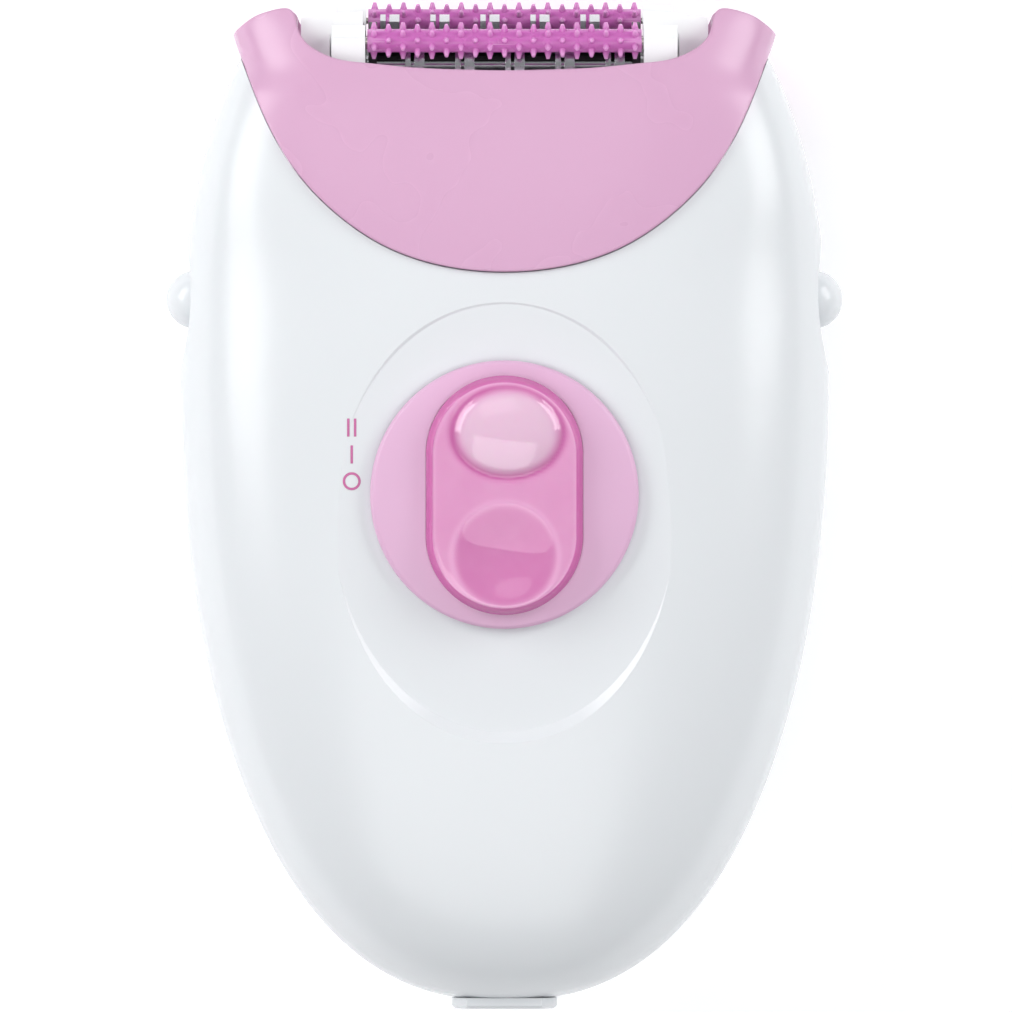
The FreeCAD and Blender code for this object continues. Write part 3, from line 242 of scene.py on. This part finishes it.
def clear_pink_polycarbonate(colours):
    """Tinted clear polycarbonate: deeper pink where it is thick and as painted shade in the dish and
    round the bubble, paler as a painted highlight along the lip and rim, a pale painted reflection in the
    bubble, wet-looking gloss on top.
    """
    material, tree, shader, place = start("clear_pink_polycarbonate")
    depth = add(tree, "ShaderNodeAttribute", attribute_name="tint_depth_and_painted_light").outputs["Fac"]
    swirl = add(tree, "ShaderNodeTexNoise", {"Vector": place, "Scale": 1.0 / (3.5 * MM),
                                              "Detail": 2.0}).outputs["Fac"]
    wander = add(tree, "ShaderNodeMath", {0: swirl, 1: 0.5}, operation="SUBTRACT").outputs[0]
    uneven = add(tree, "ShaderNodeMath", {0: wander, 1: 0.22, 2: depth},
                 operation="MULTIPLY_ADD", use_clamp=True).outputs[0]
    tint = add(tree, "ShaderNodeMix", {0: uneven, 6: rgba(colours.button),
                                       7: rgba(colours.button_deep_and_painted_shade)}, data_type="RGBA").outputs[2]
    # The pale core of the bubble is a painted reflection.
    pale_reflection = add(tree, "ShaderNodeAttribute", attribute_name="painted_reflection_core").outputs["Fac"]
    pale = add(tree, "ShaderNodeMix", {0: pale_reflection, 6: tint, 7: rgba(linear("EFCFE3"))},
               data_type="RGBA").outputs[2]
    tree.links.new(pale, shader.inputs["Base Color"])
    tree.links.new(spread(tree, place, 5.0 * MM, 0.045, 0.075), shader.inputs["Roughness"])
    tree.links.new(relief(tree, place, 2.6 * MM, 0.02 * MM, 0.25), shader.inputs["Normal"])
    shader.inputs["IOR"].default_value = 1.585
    shader.inputs["Transmission Weight"].default_value = 0.05
    shader.inputs["Subsurface Weight"].default_value = 0.3
    shader.inputs["Subsurface Radius"].default_value = (1.0, 0.45, 0.8)
    shader.inputs["Subsurface Scale"].default_value = 1.5 * MM
    return material


def magenta_polypropylene(colours):
    """Tinted polypropylene, waxy: deep colour in the roots, and paler where the spikes thin out as a
    painted highlight on the tips.
    """
    material, tree, shader, place = start("magenta_polypropylene")
    # Pointed tips turn to the paler tip colour: a painted highlight.
    edge = add(tree, "ShaderNodeNewGeometry").outputs["Pointiness"]
    tip_highlight = add(tree, "ShaderNodeMapRange", {"Value": edge, "From Min": 0.46, "From Max": 0.62}).outputs[0]
    tint = add(tree, "ShaderNodeMix", {0: tip_highlight, 6: rgba(colours.roller), 7: rgba(colours.roller_tip_highlight)},
               data_type="RGBA").outputs[2]
    tree.links.new(tint, shader.inputs["Base Color"])
    tree.links.new(spread(tree, place, 2.0 * MM, 0.2, 0.32), shader.inputs["Roughness"])
    tree.links.new(relief(tree, place, 0.25 * MM, 0.004 * MM, 0.25), shader.inputs["Normal"])
    shader.inputs["IOR"].default_value = 1.49
    shader.inputs["Subsurface Weight"].default_value = 0.35
    shader.inputs["Subsurface Radius"].default_value = (1.0, 0.4, 0.9)
    shader.inputs["Subsurface Scale"].default_value = 0.5 * MM
    return material


def white_frame_abs():
    """ABS from a finely eroded mould, 0.3 mm grain: white with a low sheen."""
    return moulded_plastic("white_frame_abs", linear("F8F9FA"), 0.33, grain=0.3, depth=0.004,
                           strength=0.15, drift=0.012)


def grey_filled_nylon():
    """Glass-filled nylon of the inner carriers, 0.2 mm fibre grain: off-white and dull."""
    return moulded_plastic("grey_filled_nylon", linear("D2D3D0"), 0.55, grain=0.2, depth=0.01,
                           strength=0.35, drift=0.05)


def natural_acetal():
    """Machined-looking natural acetal: milky, slightly waxy, lets light in a little."""
    return moulded_plastic("natural_acetal", linear("ECE8DA"), 0.38, ior=1.48, grain=0.25,
                           depth=0.004, strength=0.2, drift=0.02, scatter=0.3)


def black_filled_nylon():
    """Black glass-filled nylon, 0.25 mm grain: deep charcoal with a dusty sheen."""
    return moulded_plastic("black_filled_nylon", linear("1E1F21"), 0.48, grain=0.25, depth=0.012,
                           strength=0.4, drift=0.2)


def rolled_spring_steel():
    """Bright rolled stainless strip: near mirror with fine lines 0.12 mm apart along the roll."""
    return metal("rolled_spring_steel", linear("CDCFD2"), 0.2, stretch=(1.0, 0.12, 1.0), grain=0.12)


def zinc_plated_steel():
    """Zinc-plated screw steel: bluish bright metal with a slight cloud."""
    return metal("zinc_plated_steel", linear("B9BEC4"), 0.3, grain=0.3, drift=0.08)


def nickel_plated_motor_steel():
    """Drawn and nickel-plated motor can: warm grey mirror with draw lines round the axis."""
    return metal("nickel_plated_motor_steel", linear("B5B3AE"), 0.26, stretch=(0.15, 1.0, 1.0), grain=0.2)


def nickel_plated_brass():
    """Turned and nickel-plated pins: smooth pale metal with rings 0.15 mm apart."""
    return metal("nickel_plated_brass", linear("C9C6BE"), 0.18, stretch=(0.3, 1.0, 0.3), grain=0.15)


def sintered_bronze():
    """Oil-soaked sintered bronze, 0.15 mm pores: brown metal without a clear mirror."""
    return metal("sintered_bronze", linear("A9794A"), 0.42, grain=0.15, depth=0.015, drift=0.12)


def pressed_ferrite():
    """Pressed and fired ferrite, 0.12 mm grain: near black, stony."""
    return moulded_plastic("pressed_ferrite", linear("2D2B2C"), 0.62, ior=2.0, grain=0.12,
                           depth=0.015, strength=0.5, drift=0.15)


def solder_mask_board():
    """Glass-epoxy board under green solder mask, 0.6 mm weave just showing through."""
    material, tree, shader, place = start("solder_mask_board")
    thread = {"Vector": place, "Scale": 1.0 / (0.6 * MM) / 6.28}
    warp = add(tree, "ShaderNodeTexWave", thread, bands_direction="X").outputs["Fac"]
    weft = add(tree, "ShaderNodeTexWave", thread, bands_direction="Y").outputs["Fac"]
    weave = add(tree, "ShaderNodeMath", {0: warp, 1: weft}, operation="MULTIPLY").outputs[0]
    tint = add(tree, "ShaderNodeMix", {0: weave, 6: rgba(linear("1E5B36")), 7: rgba(linear("2A7447"))},
               data_type="RGBA").outputs[2]
    tree.links.new(tint, shader.inputs["Base Color"])
    tree.links.new(spread(tree, place, 1.5 * MM, 0.28, 0.36), shader.inputs["Roughness"])
    shader.inputs["IOR"].default_value = 1.55
    return material


def red_pvc_insulation():
    """Extruded PVC round the leads: smooth, slightly rubbery red."""
    return moulded_plastic("red_pvc_insulation", linear("B32A2A"), 0.4, ior=1.54, grain=0.5,
                           depth=0.004, strength=0.15, drift=0.05)


def pad_printing_ink(colours):
    """Pad-printed ink, 0.15 mm screen grain: flat pink with soft, slightly uneven cover."""
    return moulded_plastic("pad_printing_ink", colours.marks, 0.5, ior=1.5, grain=0.15, depth=0.004,
                           strength=0.3, drift=0.06)


def finish_nodes(material, *names):
    """Give CAD nodes a finish."""
    for name in names:
        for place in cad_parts[name].material_slots:
            place.link = "OBJECT"
            place.material = material


def colours_of(context):
    """The colours that the user has set."""
    return context.scene.epilator_colours


def sizes_of(context):
    """The sizes that the user has set."""
    return context.scene.epilator_sizes


# ---------------------------------------------------------------- pieces

def new_piece(name, mesh_data, material, body):
    """Link a mesh as a piece that rides on a CAD body."""
    piece = bpy.data.objects.new(name, mesh_data)
    bpy.context.scene.collection.objects.link(piece)
    piece.data.materials.append(material)
    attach(piece, body)
    return piece


def switch_frame():
    """The switch's own frame: X across, Y along its travel, Z out of the recess floor."""
    low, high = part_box("switch_disc")
    centre = (low + high) / 2.0
    radius = (high.x - low.x) / 2.0
    tilt = Matrix.Rotation(SWITCH_TILT, 4, "X")
    button_low, button_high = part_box("switch_button")
    half = (button_high.x - button_low.x) / 2.0
    straight = (button_high.y - button_low.y) / 2.0 - half
    foot = BUTTON_FOOT * math.cos(SWITCH_TILT) - (half + straight) * math.sin(SWITCH_TILT)
    middle = Vector((centre.x, centre.y, button_low.z - foot))
    return Matrix.Translation(middle) @ tilt, radius, half, straight


def bump_of(share):
    """One at the middle, nought from 1 on, with no corner at either end."""
    share = min(max(share, 0.0), 1.0)
    return (1.0 - share * share) ** 2


def reach_of(oval, across, along):
    """How far out of an oval's middle a point lies: 1 on its edge."""
    return math.hypot((across - oval[0]) / oval[2], (along - oval[1]) / oval[3])


def button_height(across, along, sizes):
    """Height of the thumb button's top, its tint depth with painted shade in the dish and moat and a
    painted highlight on the lip, and its clearness, a pale painted reflection in the bubble; all from
    millimetres.
    """
    height = 4.62 - 0.0035 * across * across
    lens = reach_of(BUBBLE, across, along)
    dish = reach_of(DISH, across, along)
    height += sizes.bubble_height / MM * max(0.0, 1.0 - lens * lens) ** 0.7
    moat = math.exp(-((lens - 1.07) / 0.08) ** 2)
    height -= 0.16 * moat
    height -= sizes.dish_depth / MM * bump_of(dish) ** 0.8
    lip = math.exp(-((dish - 1.05) / 0.06) ** 2)
    height += 0.05 * lip
    # The dish and the moat are tinted deeper as painted shade, and the lip round the dish paler as a
    # painted highlight.
    dish_painted_shade = 1.0 / (1.0 + math.exp((dish - 0.97) * 40.0))
    tint = 0.2 + 0.4 * dish_painted_shade + 0.7 * moat - 0.25 * lip
    # The bubble's pale core is a painted reflection.
    clear = 0.8 / (1.0 + math.exp((lens - 0.92) * 30.0))
    return height, tint, clear


def thumb_button_mesh(sizes, half, straight):
    """Rings of points from the wall's foot, over its rounded edge, to the middle line."""
    around = 96
    slant = sizes.wall_slant / MM
    half, straight = half / MM, straight / MM
    wall = [(0.0, 1.8), (0.0, 2.85), (0.12, 3.2), (0.26, 3.75), (0.44, 4.15), (0.62, 4.4)]
    wall = [(inset * slant / 0.62, rise) for inset, rise in wall]
    inner = [slant + 0.14, slant + 0.3, slant + 0.5]
    while inner[-1] < half - 0.5:
        inner.append(inner[-1] + 0.24)
    inner.append(half)
    shape = bmesh.new()
    tint_and_painted_light_layer = shape.verts.layers.float.new("tint_depth_and_painted_light")
    painted_reflection_layer = shape.verts.layers.float.new("painted_reflection_core")

    def ring(inset, rise):
        """One closed ring at a distance inside the outline."""
        points = []
        for k in range(around):
            angle = 2.0 * math.pi * (k + 0.5) / around
            reach = half - inset
            across, along = reach * math.cos(angle), reach * math.sin(angle)
            along += straight if k < around // 2 else -straight
            vert = shape.verts.new((across * MM, along * MM, rise * MM))
            vert[tint_and_painted_light_layer] = 1.15 - 0.35 * (inset / slant)
            points.append(vert)
        return points

    def settle(vert):
        """Bring a point of the top to its height and colour, paler along the rim as a painted highlight.
        """
        across, along = vert.co.x / MM, vert.co.y / MM
        inset = half - math.hypot(across, max(abs(along) - straight, 0.0))
        if inset < slant + 0.1:
            return
        height, tint, clear = button_height(across, along, sizes)
        edge = math.exp(-((inset - slant) / 0.35) ** 2)
        vert.co.z = (height - 0.12 * edge) * MM
        # Along the rounded rim the tint drops: a painted highlight.
        vert[tint_and_painted_light_layer] = tint * (1.0 - edge) - 0.1 * edge
        vert[painted_reflection_layer] = clear * (1.0 - edge)

    rings = [ring(0.25, 1.75)] + [ring(inset, rise) for inset, rise in wall]
    rings += [ring(inset, wall[-1][1]) for inset in inner]
    for outer, nearer in zip(rings, rings[1:]):
        for k in range(around):
            shape.faces.new((outer[k], outer[(k + 1) % around], nearer[(k + 1) % around], nearer[k]))
    shape.faces.new(list(reversed(rings[0])))
    bmesh.ops.remove_doubles(shape, verts=shape.verts, dist=0.001 * MM)
    fill_straights(shape, straight)
    for vert in shape.verts:
        settle(vert)
    bmesh.ops.recalc_face_normals(shape, faces=shape.faces)
    data = bpy.data.meshes.new("thumb_button")
    shape.to_mesh(data)
    shape.free()
    data.shade_smooth()
    return data


def fill_straights(shape, straight):
    """Cut the long edges of the straight runs into short ones."""
    long_edges = [edge for edge in shape.edges if edge.calc_length() > 1.2 * straight * MM]
    bmesh.ops.subdivide_edges(shape, edges=long_edges, cuts=27, use_grid_fill=True)


def drape(points, surface):
    """Drop flat points on to a surface from above."""
    dropped = []
    for point in points:
        hit = surface.ray_cast(Vector((point[0], point[1], 0.1)), Vector((0.0, 0.0, -1.0)))[0]
        if hit is None:
            raise RuntimeError("a printed mark lies beside the shell")
        dropped.append(hit)
    return dropped


def stroke(shape, path, width, surface, closed):
    """A printed line along a path, laid on the shell and 0.02 mm thick."""
    count = len(path)
    left, right = [], []
    for k, point in enumerate(path):
        before = path[k - 1] if k or closed else path[0]
        after = path[(k + 1) % count] if k < count - 1 or closed else path[-1]
        run = (after - before).normalized()
        side = Vector((-run.y, run.x)) * width / 2.0
        left.append(point + side)
        right.append(point - side)
    rows = [drape(left, surface), drape(right, surface)]
    rises = ((0, 0.004 * MM), (1, 0.004 * MM), (1, 0.024 * MM), (0, 0.024 * MM))
    loops = [[shape.verts.new(rows[row][k] + Vector((0.0, 0.0, rise))) for row, rise in rises]
             for k in range(count)]
    spans = range(count) if closed else range(count - 1)
    for k in spans:
        here, there = loops[k], loops[(k + 1) % count]
        for side in range(4):
            corner = (side + 1) % 4
            shape.faces.new((here[side], here[corner], there[corner], there[side]))
    if not closed:
        shape.faces.new(loops[0])
        shape.faces.new(list(reversed(loops[-1])))


def shell_surface():
    """The front shell as a surface that rays can hit."""
    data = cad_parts["front_shell"].data
    return BVHTree.FromPolygons([v.co for v in data.vertices], [p.vertices for p in data.polygons])


def bar_path(x, y, height):
    """The middle line of a bar."""
    return [Vector((x, y - height / 2.0 + height * k / 8.0)) for k in range(9)]


def ring_path(x, y, radius):
    """The middle line of a ring."""
    turns = [2.0 * math.pi * k / 48.0 for k in range(48)]
    return [Vector((x + radius * math.cos(turn), y + radius * math.sin(turn))) for turn in turns]


def marks_mesh(sizes):
    """Two bars, one bar and a ring beside the switch."""
    place, radius, half, straight = switch_frame()
    x = place.translation.x - radius - sizes.mark_gap
    y = place.translation.y + MARKS_UP
    line, height, pitch = sizes.mark_line, sizes.mark_height, sizes.mark_pitch
    surface = shell_surface()
    shape = bmesh.new()
    for shift in (-1.35 * line, 1.35 * line):
        stroke(shape, bar_path(x + shift, y, height), line, surface, False)
    stroke(shape, bar_path(x, y - pitch, height), line, surface, False)
    stroke(shape, ring_path(x, y - 2.0 * pitch, (height - line) / 2.0), line, surface, True)
    bmesh.ops.recalc_face_normals(shape, faces=shape.faces)
    data = bpy.data.meshes.new("switch_marks")
    shape.to_mesh(data)
    shape.free()
    return data


# ---------------------------------------------------------------- operators

class EPILATOR_OT_stage(bpy.types.Operator):
    """Set the camera, the softboxes, the room light and the table"""

    bl_idname = "epilator.stage"
    bl_label = "Stage"

    def execute(self, context):
        """Make the studio."""
        studio = context.scene.epilator_studio
        low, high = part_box("collar_front")
        seam = low.z
        camera_data = bpy.data.cameras.new("camera")
        camera_data.lens = studio.focal
        camera_data.sensor_width = 36.0
        camera_data.clip_start = 0.01
        camera_data.clip_end = 20.0
        camera = bpy.data.objects.new("camera", camera_data)
        camera.location = (0.18 * MM, -0.19 * MM, seam + studio.distance)
        context.scene.collection.objects.link(camera)
        context.scene.camera = camera
        softbox("left", (-0.66, 0.3, 0.46), (0.7, 0.36), studio.left)
        softbox("right", (0.66, 0.34, 0.46), (0.65, 0.36), studio.right)
        softbox("overhead", (-0.1, -0.6, 1.2), (1.2, 0.9), studio.overhead)
        softbox("top", (-0.15, 0.5, 1.1), (0.6, 0.4), studio.top)
        table()
        room(context, studio.room)
        context.scene.view_settings.view_transform = "Standard"
        return {"FINISHED"}


def softbox(name, place, size, power):
    """A square soft light that looks at the object."""
    data = bpy.data.lights.new(name, "AREA")
    data.shape = "RECTANGLE"
    data.size, data.size_y = size
    data.energy = power
    light = bpy.data.objects.new(name, data)
    light.location = place
    light.rotation_euler = (Vector((0.0, 0.0, 0.02)) - Vector(place)).to_track_quat("-Z", "Y").to_euler()
    bpy.context.scene.collection.objects.link(light)
    return light


def table():
    """A wide table top of white acrylic lit a little from below."""
    shape = bmesh.new()
    bmesh.ops.create_grid(shape, x_segments=1, y_segments=1, size=3.0)
    data = bpy.data.meshes.new("table")
    shape.to_mesh(data)
    shape.free()
    board = bpy.data.objects.new("table", data)
    bpy.context.scene.collection.objects.link(board)
    material, tree, shader, place = start("opal_acrylic")
    shader.inputs["Base Color"].default_value = rgba(linear("FAFAFB"))
    shader.inputs["Roughness"].default_value = 0.6
    shader.inputs["Emission Color"].default_value = (1.0, 1.0, 1.0, 1.0)
    shader.inputs["Emission Strength"].default_value = 0.2
    data.materials.append(material)


def room(context, strength):
    """Pale light from all round, brighter overhead than at the horizon."""
    world = bpy.data.worlds.new("room")
    context.scene.world = world
    world.use_nodes = True
    tree = world.node_tree
    tree.nodes.clear()
    place = add(tree, "ShaderNodeTexCoord").outputs["Generated"]
    parts = add(tree, "ShaderNodeSeparateXYZ", {0: place}).outputs
    towards = add(tree, "ShaderNodeMath", {0: parts["Y"], 1: 0.5, 2: parts["Z"]},
                  operation="MULTIPLY_ADD").outputs[0]
    ramp = add(tree, "ShaderNodeMapRange", {"Value": towards, "From Min": -0.5, "From Max": 0.9,
                                            "To Min": 0.3, "To Max": 1.0}).outputs[0]
    light = add(tree, "ShaderNodeMath", {0: ramp, 1: strength}, operation="MULTIPLY").outputs[0]
    sky = add(tree, "ShaderNodeBackground", {"Color": (0.96, 0.98, 1.0, 1.0), "Strength": light})
    output = add(tree, "ShaderNodeOutputWorld")
    tree.links.new(sky.outputs[0], output.inputs["Surface"])


class EPILATOR_OT_shells(bpy.types.Operator):
    """Finish the two white shells, the release buttons and the power socket"""

    bl_idname = "epilator.shells"
    bl_label = "Shells"

    def execute(self, context):
        """Give the white outer parts their gloss."""
        finish_nodes(white_gloss_abs(colours_of(context)), "front_shell", "rear_shell",
                     "left_release_button", "right_release_button", "power_socket")
        return {"FINISHED"}


class EPILATOR_OT_collar(bpy.types.Operator):
    """Finish the pink collar"""

    bl_idname = "epilator.collar"
    bl_label = "Collar"

    def execute(self, context):
        """Give both halves of the collar their tinted gloss."""
        finish_nodes(pink_gloss_abs(colours_of(context)), "collar_front", "collar_rear")
        return {"FINISHED"}


class EPILATOR_OT_head(bpy.types.Operator):
    """Finish the head's frame, posts, axles and bushes, and the pins and commutator"""

    bl_idname = "epilator.head"
    bl_label = "Head frame"

    def execute(self, context):
        """Give the frame its white, and the small turned parts their metals."""
        finish_nodes(white_frame_abs(), "head_frame", "front_roller_posts",
                     "rear_roller_posts")
        finish_nodes(nickel_plated_brass(), "front_roller_axle", "rear_roller_axle",
                     "socket_pins")
        finish_nodes(sintered_bronze(), "drum_bushes", "commutator")
        return {"FINISHED"}


class EPILATOR_OT_rollers(bpy.types.Operator):
    """Finish the two massage rollers"""

    bl_idname = "epilator.rollers"
    bl_label = "Massage rollers"

    def execute(self, context):
        """Give the rollers their waxy magenta."""
        finish_nodes(magenta_polypropylene(colours_of(context)), "front_roller", "rear_roller")
        return {"FINISHED"}


class EPILATOR_OT_drum(bpy.types.Operator):
    """Finish the tweezer drum and the other parts of black nylon"""

    bl_idname = "epilator.drum"
    bl_label = "Tweezer drum"

    def execute(self, context):
        """Give the tweezers their steel and the nylon parts their black."""
        slides = ["tweezer_slide_%d" % number for number in (1, 2, 3, 4)]
        finish_nodes(rolled_spring_steel(), "fixed_tweezers", "drum_shaft", *slides)
        finish_nodes(black_filled_nylon(), "drum_core", "drum_ends", "closing_cam",
                     "switch_slider", "switch_housing", "board_components")
        return {"FINISHED"}


class EPILATOR_OT_switch(bpy.types.Operator):
    """Finish the switch disc and the bronze contacts"""

    bl_idname = "epilator.switch"
    bl_label = "Switch disc"

    def execute(self, context):
        """Give the sliding disc its satin pink and the contacts their bronze."""
        finish_nodes(pink_satin_abs(colours_of(context)), "switch_disc")
        finish_nodes(sintered_bronze(), "switch_contact", "motor_terminals")
        return {"FINISHED"}


class EPILATOR_OT_thumb_button(bpy.types.Operator):
    """Build the clear thumb button with its bubble and dish"""

    bl_idname = "epilator.thumb_button"
    bl_label = "Thumb button"

    def execute(self, context):
        """Build the button in place of its CAD node."""
        place, radius, half, straight = switch_frame()
        data = thumb_button_mesh(sizes_of(context), half, straight)
        data.transform(place)
        piece = new_piece("thumb_button", data, clear_pink_polycarbonate(colours_of(context)),
                          "switch")
        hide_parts("switch_button")
        return {"FINISHED"}


class EPILATOR_OT_marks(bpy.types.Operator):
    """Print the switch marks on the front shell"""

    bl_idname = "epilator.marks"
    bl_label = "Switch marks"

    def execute(self, context):
        """Lay the marks on the shell."""
        new_piece("switch_marks", marks_mesh(sizes_of(context)), pad_printing_ink(colours_of(context)),
                  "body")
        return {"FINISHED"}


class EPILATOR_OT_works(bpy.types.Operator):
    """Finish the gears, the motor, the carriers, the board and the screws"""

    bl_idname = "epilator.works"
    bl_label = "Inner works"

    def execute(self, context):
        """Give the inner parts their finishes."""
        finish_nodes(natural_acetal(), "drum_gear", "output_gear", "idler_gear", "motor_pinion")
        finish_nodes(grey_filled_nylon(), "chassis", "top_deck", "gear_cover", "motor_end_cap",
                     "left_catch_plate", "right_catch_plate")
        finish_nodes(nickel_plated_motor_steel(), "motor_can", "rotor_core", "motor_shaft",
                     "gear_axles")
        finish_nodes(pressed_ferrite(), "motor_magnets")
        finish_nodes(solder_mask_board(), "circuit_board")
        finish_nodes(red_pvc_insulation(), "socket_leads", "motor_leads")
        finish_nodes(zinc_plated_steel(), "shell_screws", "deck_screws", "chassis_screws",
                     "motor_screws", "gear_cover_screws", "board_screws", "left_button_spring",
                     "right_button_spring")
        return {"FINISHED"}


class EPILATOR_PT_panel(bpy.types.Panel):
    """Lists the pieces and their sizes and colours"""

    bl_idname = "EPILATOR_PT_panel"
    bl_label = "Epilator"
    bl_space_type = "VIEW_3D"
    bl_region_type = "UI"
    bl_category = "Epilator"

    def draw(self, context):
        """Draw the buttons and the values."""
        for group in (context.scene.epilator_colours, context.scene.epilator_sizes,
                      context.scene.epilator_studio):
            column = self.layout.column(align=True)
            for name in group.__annotations__:
                column.prop(group, name)
        for operator in OPERATORS:
            self.layout.operator(operator.bl_idname)


OPERATORS = (EPILATOR_OT_stage, EPILATOR_OT_shells, EPILATOR_OT_collar, EPILATOR_OT_head,
             EPILATOR_OT_rollers, EPILATOR_OT_drum, EPILATOR_OT_switch, EPILATOR_OT_thumb_button,
             EPILATOR_OT_marks, EPILATOR_OT_works)
CLASSES = (EpilatorColours, EpilatorSizes, EpilatorStudio) + OPERATORS + (EPILATOR_PT_panel,)


def register():
    """Register the classes and the values."""
    for each in CLASSES:
        bpy.utils.register_class(each)
    bpy.types.Scene.epilator_colours = PointerProperty(type=EpilatorColours)
    bpy.types.Scene.epilator_sizes = PointerProperty(type=EpilatorSizes)
    bpy.types.Scene.epilator_studio = PointerProperty(type=EpilatorStudio)


def unregister():
    """Take the values and the classes away again."""
    del bpy.types.Scene.epilator_studio
    del bpy.types.Scene.epilator_sizes
    del bpy.types.Scene.epilator_colours
    for each in reversed(CLASSES):
        bpy.utils.unregister_class(each)


def main():
    """Build everything."""
    register()
    bpy.ops.epilator.stage()
    bpy.ops.epilator.shells()
    bpy.ops.epilator.collar()
    bpy.ops.epilator.head()
    bpy.ops.epilator.rollers()
    bpy.ops.epilator.drum()
    bpy.ops.epilator.switch()
    bpy.ops.epilator.thumb_button()
    bpy.ops.epilator.marks()
    bpy.ops.epilator.works()


if __name__ == "__main__":
    main()
